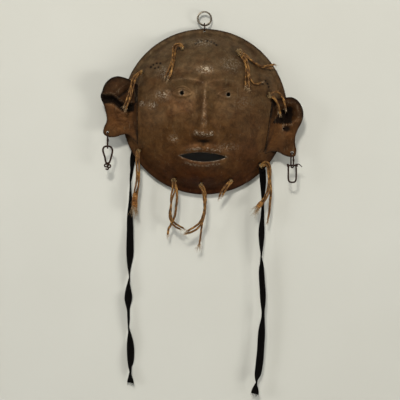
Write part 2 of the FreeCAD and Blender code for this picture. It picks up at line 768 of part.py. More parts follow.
def join_loop(side, pieces):
    """The wire of an earring's loop and what is wound on it, as one piece."""
    made = document.addObject("Part::MultiFuse", f"earring_loop_{side}")
    made.Label = f"earring_loop_{side}"
    made.Shapes = pieces
    return made


def make_left_loop():
    """A pear-shaped loop, its two ends twisted together at the bottom."""
    foot = -23.5
    loop = make_loop_wire("left", 6.3, 2.4, foot, [5.0, 5.0, 2.0, 2.0])
    place = Placement(loop_top("left") + Vector(0, 0, foot - size("twist_length")), Rotation())
    twist = primitive(
        "Part::Cylinder", "earring_twist_left",
        {"Radius": cell("twist_radius"), "Height": cell("twist_length")}, place)
    return join_loop("left", [loop, twist])


def make_right_loop():
    """A long rounded loop, its ends wrapped round its own top on both sides, and a bent tail."""
    pieces = [make_loop_wire("right", 5.4, 5.3, -23.5, [2.2, 2.2, 3.5, 3.5])]
    top = loop_top("right")
    wrap_start = 4.1
    for name, start in (("inner", -wrap_start - size("wrap_length")), ("outer", wrap_start)):
        place = Placement(top + Vector(start, 0, 0), along(Vector(1, 0, 0)))
        sizes = {"Radius": cell("wrap_radius"), "Height": cell("wrap_length")}
        pieces.append(primitive("Part::Cylinder", f"earring_wrap_{name}", sizes, place))
    tail_start = top + Vector(5.6, -0.6, 0.8)
    tail_points = [tail_start, tail_start + Vector(4.2, -0.7, 0.4), tail_start + Vector(7.8, -1.0, -3.2)]
    tail, _, _ = rounded_path(tail_points)
    pieces.append(feature("earring_tail_right", round_tube(tail, 0.7)))
    return join_loop("right", pieces)


def check_document():
    """Stops if any object of the document failed."""
    document.recompute()
    for item in document.Objects:
        if "Invalid" in item.State or "Error" in item.State:
            raise ValueError(f"{item.Label} failed: {item.State}")


def write(sub_parts):
    """Checks each sub-part and writes it to its own file."""
    os.makedirs("parts", exist_ok=True)
    for part in sub_parts:
        shape = part.Shape
        if shape.isNull() or not shape.isValid():
            raise ValueError(f"{part.Label} isn't a valid shape")
        shape.exportStep(f"parts/{part.Label}.step")
    print(len(sub_parts), "sub-parts written")


def main():
    sub_parts = [make_split_ring(), make_hanger_link(), make_face_plate()]
    for side in ("left", "right"):
        sub_parts.append(make_ear(side))
        sub_parts.append(make_hook(side))
        sub_parts.append(make_ribbon(side))
        sub_parts.append(make_ribbon_knot(side))
    sub_parts += [make_left_loop(), make_right_loop()]
    sub_parts += [make_knot(name) for name in TIE_HOLES]
    for label, (knot, diameter, points) in LYING_TIES.items():
        sub_parts.append(make_cord(label, diameter, lying_route(knot, points)))
    for label, (knot, diameter, points) in FREE_TIES.items():
        sub_parts.append(make_cord(label, diameter, free_route(knot, points)))
    for tie, place in END_KNOTS.items():
        sub_parts.append(make_end_knot(tie, place))
    check_document()
    write(sub_parts)


main()
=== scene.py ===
"""A round mask of hammered, rusted sheet iron that hangs from a split ring, with sheet ears, knotted
twine, two long black ribbons and wire earrings. Its frame is that of the CAD model, in metres: +Z
up, the face looks along -Y, and the origin is the centre of the split ring. The sheet's formulas
and the tables of points work in millimetres, and MM turns their results into metres. A rise is a
height above the middle of the face."""

import math
import random

import bpy
import numpy as np
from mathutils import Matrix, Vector, geometry, kdtree


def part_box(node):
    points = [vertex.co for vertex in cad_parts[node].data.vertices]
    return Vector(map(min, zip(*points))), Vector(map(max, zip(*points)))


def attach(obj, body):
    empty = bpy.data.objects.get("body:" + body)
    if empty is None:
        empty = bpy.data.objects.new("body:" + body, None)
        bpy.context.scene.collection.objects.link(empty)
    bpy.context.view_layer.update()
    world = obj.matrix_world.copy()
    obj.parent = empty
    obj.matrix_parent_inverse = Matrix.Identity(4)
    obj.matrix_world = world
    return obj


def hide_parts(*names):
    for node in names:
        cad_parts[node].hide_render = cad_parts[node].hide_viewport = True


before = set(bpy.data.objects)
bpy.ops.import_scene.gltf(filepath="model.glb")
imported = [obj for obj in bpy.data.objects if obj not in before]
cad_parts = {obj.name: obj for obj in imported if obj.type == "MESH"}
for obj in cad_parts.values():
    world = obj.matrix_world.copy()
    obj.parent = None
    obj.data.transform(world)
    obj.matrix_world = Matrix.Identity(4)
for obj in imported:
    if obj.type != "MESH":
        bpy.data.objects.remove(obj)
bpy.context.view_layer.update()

MM = 0.001

# ---------------- the sheet, in millimetres
FACE_SEED = 11
FACE_RADIUS = 116.0
FACE_DROP = 130.5
TILT = math.radians(2)
RIM_BACK = 1.3
RIM_SLOPE = math.tan(math.radians(15))
CREASE_RADIUS = 108.0
CREASE_RISE = 2.1
DOME_RISE = 48.0
SHEET_THICK = 1.0
BROW = 38.7
EYE_SPREAD = 31.5
EYE = 20.0
EYE_HOLE_RADIUS = 2.8
NOSE_BASE = -38.7
MOUTH = -64.4
MOUTH_HALF_WIDTH = 33.0
LIP_UP = 5.0
LIP_DOWN = 7.0
CHIN = -92.0
EAR_PLANE = 15.0
EAR_GAP = 0.6
LOBE_HOLE_RADIUS = 2.2
TIE_HOLE_RADIUS = 1.7
LINK_HOLE_RADIUS = 1.7
LINK_BOTTOM = -17.9

EAR_OUTLINES = {
    "left": [
        (-92.5, 36.1), (-100.8, 41.3), (-110.3, 45.4), (-120.5, 47.1), (-130.1, 43.8), (-137.4, 36.0),
        (-141.1, 26.2), (-143.5, 19.4), (-140.1, 10.0), (-136.8, -1.8), (-135.3, -13.5),
        (-139.3, -23.4), (-139.8, -31.7), (-132.9, -36.4), (-123.1, -36.3), (-113.6, -33.3),
        (-106.4, -33.1), (-99.7, -38.9), (-92.8, -45.8)],
    "right": [
        (94.0, 17.3), (103.1, 17.0), (112.7, 18.2), (121.9, 18.2), (129.8, 13.0), (135.0, 4.1),
        (136.7, -5.6), (134.3, -16.3), (129.3, -26.0), (125.8, -35.9), (125.6, -46.2),
        (127.3, -55.0), (125.0, -63.0), (118.0, -64.0), (109.7, -61.6), (102.5, -57.5),
        (94.0, -56.6), (83.7, -59.4)],
}
# The openings of the ears: x, rise and radius.
CANALS = {
    "left": [(-103.4, 4.3, 4.2)],
    "right": [(110.8, -2.6, 4.6), (111.0, -10.2, 4.8), (111.0, -24.8, 2.8)],
}
LOBE_HOLES = {"left": (-134.1, -30.0), "right": (121.4, -58.3)}

# The holes of the ties and their knots: x, z, the radius of the bead, and how much larger than its
# solid in the CAD it is drawn.
KNOTS = {
    "brow_left": (-30.1, -47.4, 2.8, 1.0),
    "temple_left": (-85.4, -77.3, 2.8, 1.0),
    "brow_right": (46.3, -54.1, 4.2, 1.45),
    "temple_right": (87.0, -111.1, 3.8, 1.15),
    "cheek_left": (-89.5, -184.7, 3.2, 1.0),
    "cheek_right": (77.8, -204.4, 4.2, 1.0),
    "chin_left": (-41.2, -224.6, 4.0, 1.1),
    "chin_middle": (-4.3, -230.8, 3.5, 1.0),
    "chin_right": (36.0, -226.0, 3.1, 1.0),
}
KNOT_GAP = 0.2

# ---------------- the cords' routes, in millimetres
# Ties that lie on the sheet: the knot, the diameter, the number of strands, and points of x, lift
# above the sheet, and z.
LYING_TIES = {
    "tie_brow_left": ("brow_left", 5, 3, [
        (-32.2, 6.8, -42.4), (-36.4, 7.8, -40.5), (-41, 7, -43.2), (-42.6, 5.7, -50),
        (-42.8, 4.8, -59), (-43.7, 4.2, -69.2), (-46.6, 3.8, -79.6), (-51.6, 3.6, -90)]),
    "tie_brow_right_long": ("brow_right", 5, 3, [
        (55, 6, -59.6), (57.3, 4.8, -69.2), (58.2, 4.2, -80.6), (58.4, 3.8, -92),
        (57, 3.6, -102.8)]),
    "tie_brow_right_side": ("brow_right", 2.2, 1, [
        (57.4, 5.2, -62.2), (60.7, 3.6, -74.5), (61.5, 2.8, -86.7), (64.9, 2.6, -94.6),
        (71.2, 2.8, -97), (77.6, 3, -93.4)]),
    "tie_brow_right_out": ("brow_right", 4.4, 2, [
        (55.6, 6.6, -54.6), (62.3, 5.2, -61.4), (69.9, 4.6, -67.3), (79.2, 4.4, -70),
        (88.7, 4.8, -69.2), (97.3, 5.4, -67.6)]),
}

# Ties that hang free or cross from sheet to sheet: the same, with points of x, y and z.
FREE_TIES = {
    "tie_temple_left": ("temple_left", 4.6, 3, [
        (-90.7, -16.5, -79.5), (-95, -19.5, -84.2), (-98.3, -23.2, -91.6), (-100.4, -26.8, -101.2),
        (-102, -28.8, -111.3), (-105.2, -29, -120.3), (-109.3, -27, -128.3)]),
    "tie_temple_right_outer": ("temple_right", 2.8, 1, [
        (93, -25.2, -106.3), (98.1, -24.2, -104.9), (103.4, -23.2, -107.4), (107.6, -23.2, -113.6),
        (110.4, -23.6, -120.8), (111.5, -22.2, -128.1)]),
    "tie_temple_right_inner": ("temple_right", 4, 2, [
        (95.3, -23.4, -112.9), (99.5, -22.4, -119.3), (102.1, -21.6, -127.4),
        (103.2, -19.4, -135.4)]),
    "tie_cheek_left": ("cheek_left", 5, 3, [
        (-92.5, -10.6, -195.8), (-93.5, -10.2, -208.3), (-92.3, -9.6, -220.8),
        (-92.7, -9.2, -233.3), (-95.4, -9.2, -244.8), (-97.4, -9.4, -255.4),
        (-97.2, -9.4, -265.4)]),
    "tie_cheek_right": ("cheek_right", 5, 3, [
        (83.6, -9.6, -201.4), (88.4, -10.8, -204), (89.9, -11, -211.5), (89.5, -11, -221.8),
        (89.3, -11, -231.8), (89.4, -11, -241.4), (86.2, -11, -249.9), (80.3, -11, -256.7),
        (74, -10.8, -263.8)]),
    "tie_cheek_right_tail": ("cheek_right", 2.8, 2, [
        (84.6, -8.2, -201.6), (89.6, -8.6, -203.8), (91.8, -8.4, -211.5), (92.6, -8.4, -226),
        (92.4, -8.2, -243.7), (91.3, -8.2, -258.3), (89.8, -8.2, -272.2), (87.6, -8.2, -283.6)]),
    "tie_chin_left": ("chin_left", 4.2, 2, [
        (-41.6, -15.2, -238.6), (-45.5, -14.6, -250.8), (-46.6, -13.8, -262.4),
        (-48.1, -13.4, -273.9), (-45.1, -13.4, -283.8), (-38.5, -13.6, -290.7),
        (-29.9, -13.4, -294.9)]),
    "tie_chin_left_end": ("chin_left", 3, 1, [
        (-38.4, -12, -237.6), (-37.8, -10.8, -250.2), (-39.3, -9.8, -263.8), (-40.6, -9.2, -276.5),
        (-45.1, -8.8, -286.8), (-51, -8.8, -294.3), (-51.4, -9, -301.6)]),
    "tie_chin_middle": ("chin_middle", 4.6, 2, [
        (-0.3, -19.6, -240.6), (0.8, -18.4, -251.5), (1.3, -17.6, -262.4), (-0.1, -17.2, -273.9),
        (-4, -17.2, -283.8), (-10.1, -17.4, -291.2), (-17.8, -17.8, -296.4),
        (-26.3, -17.8, -299.4)]),
    "tie_chin_middle_tail": ("chin_middle", 2.4, 1, [
        (-2, -15.4, -242.4), (-0.7, -13.8, -256.3), (-0.5, -12.8, -270.4), (-2.3, -12.2, -284.8),
        (-4.5, -11.8, -299.3), (-7.3, -11.4, -313.4)]),
    "tie_chin_right": ("chin_right", 4.6, 2, [
        (31.5, -14.6, -233.6), (26.6, -13.2, -241.8), (21.6, -12.4, -249.8)]),
}

# The ribbons: the plane's y, points of x and z, and how far the cloth is turned, in degrees, at
# heights from the top down.
RIBBON_WIDTH = 10.5
RIBBONS = {
    "ribbon_left": (2.35, [
        (-92.4, -172), (-99.4, -188.5), (-103.5, -217), (-104.6, -256), (-104.5, -300),
        (-104.1, -345), (-106.8, -387), (-107.5, -425), (-102.6, -466), (-103.6, -510.5)], [
        (-184, 15), (-212, 66), (-226, 90), (-240, 115), (-261, 132), (-290, 155), (-318, 180),
        (-352, 245), (-361, 270), (-373, 305), (-391, 360), (-402.5, 425), (-425, 433),
        (-443, 490), (-467, 540), (-485, 575), (-494, 630), (-505, 690)]),
    "ribbon_right": (-5.2, [
        (80.6, -211.5), (82, -232), (80.6, -266), (79, -308), (78.8, -352), (82.2, -397),
        (79.4, -441), (77.2, -484), (70.2, -524.5)], [
        (-205, 5), (-254, 60), (-265, 72), (-296, 27), (-310, 40), (-324, 56), (-335, 90),
        (-348, 140), (-394, 143), (-412, 108), (-436, 152), (-471, 172), (-495, 180), (-506, 245),
        (-513, 300), (-520, 340)]),
}
END_KNOTS = {
    "tie_cheek_left": (-97.3, -9.4, -254.6),
    "tie_cheek_right": (76.2, -11, -261.2),
}
# The length and the outer radius of each of these knots, in metres, and the ties that fray furthest.
END_KNOT_SIZES = {"tie_cheek_left": (0.0180, 0.0040), "tie_cheek_right": (0.0080, 0.0038)}
LONG_FRAYS = ("tie_cheek_left", "tie_cheek_right", "tie_chin_middle_tail")
# How far the loose fibres at a strand's end reach, in metres, and how many there are.
LONG_FRAY = (0.0115, 30)
SHORT_FRAY = (0.0055, 16)


# ---------------- heights of the sheet
def smooth_step(value):
    """0 below 0, 1 above 1, and a smooth curve between."""
    value = np.clip(value, 0.0, 1.0)
    return value * value * (3 - 2 * value)


def soft_max(one, other, width):
    """The larger of two heights, with a rounded corner of this width where they cross."""
    return width * np.logaddexp(one / width, other / width)


def swell(value, width):
    """A smooth bump round 0, 1 high."""
    return np.exp(-((value / width) ** 2))


def round_angles(count):
    """Evenly spaced angles all the way round."""
    return np.linspace(0, 2 * math.pi, count, endpoint=False)


def hill(across, up, spread_across, spread_up):
    """A smooth round hill, 1 high at its middle."""
    return np.exp(-((across / spread_across) ** 2) - (up / spread_up) ** 2)


def brow_relief(side, up):
    """An even arched ridge over each eye."""
    arch = BROW - 5.5 * ((side - 27) / 27) ** 2
    return 3.4 * np.exp(-(((up - arch) / 7) ** 2) - ((side - 25) / 29) ** 4)


def eye_relief(side, up):
    """A shallow socket with the eyeball standing in it."""
    across = side - EYE_SPREAD
    up = up - EYE
    return 5.0 * hill(across, up, 12, 8.5) - 6.0 * hill(across, up + 0.5, 19, 13)


def nose_relief(side, up):
    """A ridge that widens and rises from between the brows to the tip, with a wing on each side."""
    bridge = BROW - 8
    down = (bridge - up) / (bridge - NOSE_BASE)
    along = np.clip(down, 0.0, 1.0)
    ends = smooth_step((down + 0.3) / 0.45) * smooth_step((1.1 - down) / 0.17)
    ridge = (3.5 + 11.5 * along**1.2) * np.exp(-np.abs(side / (6.5 + 4.5 * along)) ** 2.2)
    return ends * ridge + 4.4 * hill(side - 11.5, up - NOSE_BASE - 6, 5.5, 6.5)


def mouth_relief(side, up):
    """A full upper and lower lip round the slit, and a dip under the nose."""
    lens = np.maximum(0.0, 1 - (side / MOUTH_HALF_WIDTH) ** 2)
    width = np.exp(-((side / 31) ** 4))
    above = up - MOUTH - LIP_UP * lens - 4.5
    below = up - MOUTH + LIP_DOWN * lens + 5.5
    lips = 4.2 * swell(above, 5.5) + 4.8 * swell(below, 6.0)
    return width * lips - 1.6 * hill(side, up - (NOSE_BASE + MOUTH) / 2 - 1, 4.5, 6)


def own_axes(x, z):
    """A point's place across and up the face, which hangs a little turned."""
    rise = z + FACE_DROP
    across = x * math.cos(TILT) - rise * math.sin(TILT)
    return across, x * math.sin(TILT) + rise * math.cos(TILT)


def from_own_axes(across, up):
    """The x and z of a place across and up the face."""
    x = across * math.cos(TILT) + up * math.sin(TILT)
    return x, up * math.cos(TILT) - across * math.sin(TILT) - FACE_DROP


def face_back(x, z):
    """Height of the back of the face sheet in front of the plane of its rim."""
    across, up = own_axes(x, z)
    side = np.abs(across)
    radius = np.hypot(x, z + FACE_DROP)
    share = (radius / CREASE_RADIUS) ** 2
    rim = (FACE_RADIUS - radius) * RIM_SLOPE
    dome = CREASE_RISE + DOME_RISE * (1 - share) * (1 + 0.5 * share)
    dome = dome + brow_relief(side, up) + eye_relief(side, up) + nose_relief(side, up)
    dome = dome + mouth_relief(side, up) + 5.5 * hill(side, up - CHIN, 20, 11)
    dome = dome + 3.5 * hill(side - 47, up + 14, 20, 20)
    return soft_max(rim, dome, 1.5)


def left_ear_relief(x, rise):
    """A hooded upper shell over a dark fold, with a ridge that runs in towards the face."""
    fold = 9.5 + 11.5 * smooth_step((-111 - x) / 18)
    over = smooth_step((rise - fold) / 5 + 0.5)
    bowl = np.maximum(0.0, 1 - ((x + 122) / 31) ** 2 - ((rise - 17) / 37) ** 2)
    hood = 9 * over * bowl**0.8
    ridge = 2.2 * over * np.exp(-(((x + 125) * 0.67 - (rise - 20.6) * 0.75) / 3.2) ** 2)
    reach = smooth_step((x + 146) / 8) * smooth_step((-97 - x) / 8)
    under = -5.5 * reach * swell(rise - fold + 5.5, 4.2)
    return hood + ridge * bowl + under


def right_ear_relief(x, rise):
    """A rolled edge round a deep hollow, running down to the lobe."""
    across = x - 116
    up = rise + 4
    radius = np.hypot(across, up)
    turn = smooth_step((across + 6) / 12) + 0.7 * smooth_step((up - 2) / 10)
    roll = 6.0 * np.minimum(turn, 1.0) * swell(radius - 14.5, 6.5)
    hollow = -11.0 * hill(across + 3, up + 1.5, 9, 12)
    neck = 2.0 * hill(x - 118, rise + 34, 9, 14)
    return roll + hollow + neck


EAR_RELIEF = {"left": left_ear_relief, "right": right_ear_relief}


def ear_back(side, x, z):
    """Height of the back of an ear: it follows the dome, then stands out past the rim."""
    own = EAR_PLANE + EAR_RELIEF[side](x, z + FACE_DROP)
    return soft_max(own, face_back(x, z) + SHEET_THICK + EAR_GAP, 1.2)


def skin(x, z):
    """Height of the front that shows here: an ear's outside its inner edge, else the face's."""
    if x < EAR_OUTLINES["left"][0][0] and z < EAR_OUTLINES["left"][1][1] - FACE_DROP:
        return ear_back("left", x, z) + SHEET_THICK
    if x > EAR_OUTLINES["right"][0][0] and z < EAR_OUTLINES["right"][0][1] - FACE_DROP:
        return ear_back("right", x, z) + SHEET_THICK
    return face_back(x, z) + SHEET_THICK


def outward(x, z):
    """The direction that the face sheet looks at a point."""
    step = 0.5
    slope_x = (face_back(x + step, z) - face_back(x - step, z)) / (2 * step)
    slope_z = (face_back(x, z + step) - face_back(x, z - step)) / (2 * step)
    return Vector((-slope_x, -1, -slope_z)).normalized()


def face_point(x, z, lift=0.0):
    """A point on the front of the face sheet, or lifted off it, in metres."""
    foot = Vector((x, RIM_BACK - face_back(x, z) - SHEET_THICK, z))
    return (foot + outward(x, z) * lift) * MM


def knot_middle(name):
    """The middle of the bead of a knot, where its ties start."""
    x, z, radius, _ = KNOTS[name]
    return face_point(x, z, radius + KNOT_GAP)


# ---------------- materials
class Nodes:
    """One material and short ways to add to its node tree."""

    def __init__(self, name):
        self.material = bpy.data.materials.new(name)
        self.material.use_nodes = True
        self.tree = self.material.node_tree
        self.tree.nodes.clear()
        self.place = self.add("ShaderNodeTexCoord").outputs["Object"]

    def add(self, kind, inputs=None, **settings):
        """A node with its settings, and its inputs set to numbers or joined to sockets."""
        node = self.tree.nodes.new(kind)
        for name, value in settings.items():
            setattr(node, name, value)
        for name, value in (inputs or {}).items():
            if isinstance(value, bpy.types.NodeSocket):
                self.tree.links.new(value, node.inputs[name])
            else:
                node.inputs[name].default_value = value
        return node

    def noise(self, scale, detail=4.0, roughness=0.55, vector=None, distortion=0.0):
        """Noise about 0.5, with features of about 1 / scale metres."""
        inputs = {
            "Vector": vector or self.place, "Scale": scale, "Detail": detail,
            "Roughness": roughness, "Distortion": distortion}
        return self.add("ShaderNodeTexNoise", inputs).outputs["Fac"]

    def ramp(self, value, stops):
        """A colour, or a grey, for each stop of a value."""
        node = self.add("ShaderNodeValToRGB", {"Fac": value})
        elements = node.color_ramp.elements
        while len(elements) < len(stops):
            elements.new(0.5)
        for element, (at, colour) in zip(elements, stops):
            element.position = at
            if isinstance(colour, float):
                colour = (colour, colour, colour)
            element.color = (*colour, 1.0)
        return node.outputs["Color"]

    def math(self, operation, one, other=0.0, clamp=False):
        """One step of arithmetic."""
        node = self.add("ShaderNodeMath", {0: one, 1: other}, operation=operation)
        node.use_clamp = clamp
        return node.outputs[0]

    def times(self, one, other, clamp=False):
        """The product of two numbers."""
        return self.math("MULTIPLY", one, other, clamp)

    def line(self, value, slope, start):
        """The value times a slope, and a start."""
        return self.math("ADD", self.math("MULTIPLY", value, slope), start)

    def mix(self, share, one, other, blend="MIX"):
        """Two colours mixed by a share."""
        node = self.add(
            "ShaderNodeMix", {"Factor": share}, data_type="RGBA", blend_type=blend)
        for index, value in ((6, one), (7, other)):
            if isinstance(value, bpy.types.NodeSocket):
                self.tree.links.new(value, node.inputs[index])
            else:
                node.inputs[index].default_value = (*value, 1.0)
        return node.outputs[2]

    def mask(self, name):
        """A number kept on the mesh's points."""
        return self.add("ShaderNodeAttribute", attribute_name=name).outputs["Fac"]

    def bump(self, height, distance, strength=1.0, normal=None):
        """A bump of this height in metres."""
        inputs = {"Height": height, "Distance": distance, "Strength": strength}
        if normal:
            inputs["Normal"] = normal
        return self.add("ShaderNodeBump", inputs).outputs["Normal"]

    def finish(self, **inputs):
        """The surface shader, its inputs named with underscores for spaces."""
        named = {name.replace("_", " "): value for name, value in inputs.items()}
        shader = self.add("ShaderNodeBsdfPrincipled", named)
        self.add("ShaderNodeOutputMaterial", {"Surface": shader.outputs[0]})
        return self.material


def rusted_sheet(name, top, middle, low, glint):
    """Old sheet iron: brown that darkens downwards, partly patina and partly painted shade;
    near-black with patina in the hollows and with painted shade in dents, folds and along edges; worn
    bare where it stands proud, partly a painted highlight; scratches, specks and a dull oily gloss."""
    n = Nodes(name)
    height = n.add("ShaderNodeSeparateXYZ", {"Vector": n.place}).outputs["Z"]
    # The colour darkens downwards: partly patina, partly painted shade of light from above. The pale
    # patches below follow it too.
    share = n.line(height, 1 / 0.232, 1.065)
    cloudy = n.times(n.math("SUBTRACT", n.noise(22, 5, 0.6), 0.5), 0.5)
    share = n.math("ADD", share, cloudy, clamp=True)
    base = n.ramp(share, [(0.0, low), (0.36, middle), (0.80, top), (1.0, top)])
    blotch = n.ramp(n.noise(55, 7, 0.65, distortion=0.6), [(0.35, 0.0), (0.68, 1.0)])
    base = n.mix(n.times(blotch, 0.55), base, (0.070, 0.022, 0.004))
    pale = n.ramp(n.noise(42, 7, 0.72, distortion=0.5), [(0.50, 0.0), (0.68, 1.0)])
    pale = n.times(pale, n.times(share, 0.40), clamp=True)
    base = n.mix(pale, base, (0.165, 0.102, 0.046))
    shade = n.ramp(n.noise(85, 8, 0.74, distortion=0.35), [(0.36, 0.46), (0.62, 1.0)])
    base = n.mix(1.0, base, shade, "MULTIPLY")
    speck = n.ramp(n.noise(620, 3, 0.6), [(0.60, 0.0), (0.74, 1.0)])
    base = n.mix(n.times(speck, 0.45), base, (0.030, 0.014, 0.008))
    # Near-black: patina in the hollows, and painted shade in the dots, folds, covered parts and
    # edges.
    soot_and_shade = n.mask("soot_and_shade")
    base = n.mix(n.times(soot_and_shade, 0.93, clamp=True), base, (0.006, 0.004, 0.003))
    grit = n.ramp(n.noise(430, 5, 0.80), [(0.49, 0.0), (0.60, 1.0)])
    # Bare metal where worn, in a gritty pattern, partly a painted highlight.
    bare_and_glint = n.times(n.mask("wear_and_glint"), grit, clamp=True)
    base = n.mix(bare_and_glint, base, glint)
    stretch = n.add("ShaderNodeMapping", {"Vector": n.place, "Scale": (1.0, 1.0, 0.16)})
    scratch = n.ramp(
        n.noise(420, 2, 0.5, vector=stretch.outputs[0]), [(0.66, 0.0), (0.72, 1.0)])
    base = n.mix(n.times(scratch, 0.16), base, (0.26, 0.20, 0.12))
    rough = n.line(n.noise(90, 5, 0.6), 0.34, 0.31)
    rough = n.math("ADD", rough, n.times(soot_and_shade, 0.4), clamp=True)
    rough = n.math("SUBTRACT", rough, n.times(bare_and_glint, 0.22), clamp=True)
    metal = n.math("ADD", n.times(bare_and_glint, 0.5), 0.34, clamp=True)
    pits = n.bump(n.noise(700, 6, 0.7), 0.00028, 0.65)
    dents = n.bump(n.noise(75, 4, 0.55), 0.0016, 0.60, normal=pits)
    return n.finish(
        Base_Color=base, Metallic=metal, Roughness=rough, Normal=dents, Specular_IOR_Level=0.09)


def dark_wire():
    """Thin wire gone dark brown, with rust bloom and a rubbed shine."""
    n = Nodes("rusted_wire")
    base = n.ramp(n.noise(400, 6, 0.7), [
        (0.30, (0.008, 0.003, 0.002)), (0.56, (0.024, 0.009, 0.004)), (0.74, (0.085, 0.030, 0.011))])
    shine = n.ramp(n.noise(900, 3, 0.6), [(0.58, 0.0), (0.70, 1.0)])
    base = n.mix(n.times(shine, 0.22), base, (0.42, 0.30, 0.24))
    rough = n.line(n.noise(600), 0.30, 0.36)
    pits = n.bump(n.noise(1800, 4, 0.7), 0.00012, 0.6)
    return n.finish(
        Base_Color=base, Metallic=0.35, Roughness=rough, Normal=pits, Specular_IOR_Level=0.15)


def ring_metal():
    """The split ring: dull plated steel, browned in patches."""
    n = Nodes("ring_metal")
    tarnish = n.ramp(n.noise(330, 6, 0.7), [(0.40, 0.0), (0.68, 1.0)])
    base = n.mix(tarnish, (0.150, 0.130, 0.100), (0.030, 0.020, 0.012))
    rough = n.line(tarnish, 0.25, 0.24)
    pits = n.bump(n.noise(1500, 4, 0.6), 0.00008, 0.5)
    return n.finish(Base_Color=base, Metallic=0.92, Roughness=rough, Normal=pits)


def twine_fibre(name, shades):
    """Waxed plant twine: painted shade between the plies, with fine fibres."""
    n = Nodes(name)
    base = n.ramp(n.noise(170, 5, 0.65), list(zip((0.30, 0.50, 0.72), shades)))
    # Painted shade in the grooves between the plies.
    groove_shade = n.mask("groove_shade")
    base = n.mix(n.times(groove_shade, 0.86), base, (0.012, 0.004, 0.001))
    fine = n.noise(2600, 3, 0.6)
    light = n.ramp(fine, [(0.55, 0.0), (0.75, 1.0)])
    base = n.mix(n.times(light, 0.16), base, (0.58, 0.38, 0.14))
    rough = n.line(fine, 0.3, 0.42)
    hairs = n.bump(fine, 0.00012, 0.7)
    return n.finish(
        Base_Color=base, Roughness=rough, Normal=hairs, Specular_IOR_Level=0.22)


def frayed_fibre():
    """Loose fibres at the ends of the twine, paler and matt."""
    n = Nodes("frayed_fibre")
    base = n.ramp(n.noise(500, 3), [
        (0.3, (0.14, 0.08, 0.035)), (0.55, (0.32, 0.21, 0.11)), (0.75, (0.60, 0.48, 0.33))])
    return n.finish(Base_Color=base, Roughness=0.75, Specular_IOR_Level=0.2)


def black_ribbon():
    """Black woven ribbon: fine ribs across, a little dust, and a soft sheen."""
    n = Nodes("black_ribbon")
    weave = n.add("ShaderNodeTexWave", {
        "Vector": n.place, "Scale": 420.0, "Distortion": 1.2, "Detail": 2.0, "Detail Scale": 3.0},
        bands_direction="Z").outputs["Fac"]
    dust = n.ramp(n.noise(260, 6, 0.7), [(0.52, 0.0), (0.78, 1.0)])
    base = n.mix(n.times(weave, 0.5), (0.0010, 0.0007, 0.0005), (0.0034, 0.0024, 0.0018))
    base = n.mix(n.times(dust, 0.10), base, (0.034, 0.026, 0.020))
    ribs = n.bump(weave, 0.00018, 0.6)
    folds = n.bump(n.noise(150, 4), 0.0008, 0.4, normal=ribs)
    return n.finish(
        Base_Color=base, Roughness=0.80, Normal=folds, Specular_IOR_Level=0.06)


# ---------------- mesh helpers
def make_object(name, vertices, faces, material, masks=None):
    """A smooth mesh object with its material and the numbers kept on its points."""
    mesh = bpy.data.meshes.new(name)
    mesh.from_pydata([tuple(v) for v in vertices], [], [tuple(f) for f in faces])
    mesh.validate()
    mesh.polygons.foreach_set("use_smooth", [True] * len(mesh.polygons))
    for mask, values in (masks or {}).items():
        attribute = mesh.attributes.new(mask, "FLOAT", "POINT")
        attribute.data.foreach_set("value", np.asarray(values, dtype=np.float32))
    mesh.update()
    made = bpy.data.objects.new(name, mesh)
    bpy.context.scene.collection.objects.link(made)
    mesh.materials.append(material)
    return made


def smooth_route(points, spacing):
    """The smooth line that a NURBS spline through these points follows, evenly spaced."""
    curve = bpy.data.curves.new("route", "CURVE")
    curve.dimensions = "3D"
    spline = curve.splines.new("NURBS")
    spline.points.add(len(points) - 1)
    for point, place in zip(spline.points, points):
        point.co = (*place, 1.0)
    spline.order_u = 3
    spline.use_endpoint_u = True
    spline.resolution_u = 24
    holder = bpy.data.objects.new("route", curve)
    bpy.context.scene.collection.objects.link(holder)
    bpy.context.view_layer.update()
    mesh = bpy.data.meshes.new_from_object(holder)
    line = np.array([v.co[:] for v in mesh.vertices])
    bpy.data.meshes.remove(mesh)
    bpy.data.objects.remove(holder)
    bpy.data.curves.remove(curve)
    along = distances(line)
    count = max(2, int(round(along[-1] / spacing)) + 1)
    at = np.linspace(0, along[-1], count)
    return np.stack([np.interp(at, along, line[:, k]) for k in range(3)], axis=1)


def smooth_curve(ends, spacing=None):
    """A smooth curve through all these points but the first and the last, as points this far
    apart, or else 10 for each stretch."""
    curve = []
    for i in range(len(ends) - 3):
        a, b, c, d = ends[i:i + 4]
        count = max(2, int(np.hypot(*(c - b)) / spacing)) if spacing else 10
        t = np.linspace(0, 1, count, endpoint=False)[:, None]
        curve.append(0.5 * (
            2 * b + (c - a) * t + (2 * a - 5 * b + 4 * c - d) * t**2
            + (3 * b - a - 3 * c + d) * t**3))
    return np.concatenate(curve)


def distances(line):
    """How far along a line each of its points is."""
    steps = np.linalg.norm(np.diff(line, axis=0), axis=1)
    return np.concatenate([[0.0], np.cumsum(steps)])


def unit(vectors):
    """The same directions, each 1 long."""
    return vectors / np.linalg.norm(vectors, axis=-1, keepdims=True)


def frames_along(line):
    """The tangent at each point of a line, and two directions across it that don't twist."""
    tangents = unit(np.gradient(line, axis=0))
    start = np.array((0.0, -1.0, 0.0))
    start = start - tangents[0] * start.dot(tangents[0])
    if np.linalg.norm(start) < 1e-4:
        start = np.cross(tangents[0], (1.0, 0.3, 0.2))
    normals = [unit(start)]
    for tangent in tangents[1:]:
        normals.append(unit(normals[-1] - tangent * normals[-1].dot(tangent)))
    normals = np.array(normals)
    return tangents, normals, np.cross(tangents, normals)


def between_rows(rows, count, base=0, closed=False):
    """The faces between rows that are each a ring of points."""
    faces = []
    for i in range(rows if closed else rows - 1):
        here = base + i * count
        above = base + (i + 1) % rows * count
        for k in range(count):
            after = (k + 1) % count
            faces.append((here + k, here + after, above + after, above + k))
    return faces


# A strand of twine: its plies, the length in which they wind once round, and how deep they part.
STRAND_PLIES = 3
STRAND_LAY = 0.0085
GROOVE_DEPTH = 0.22


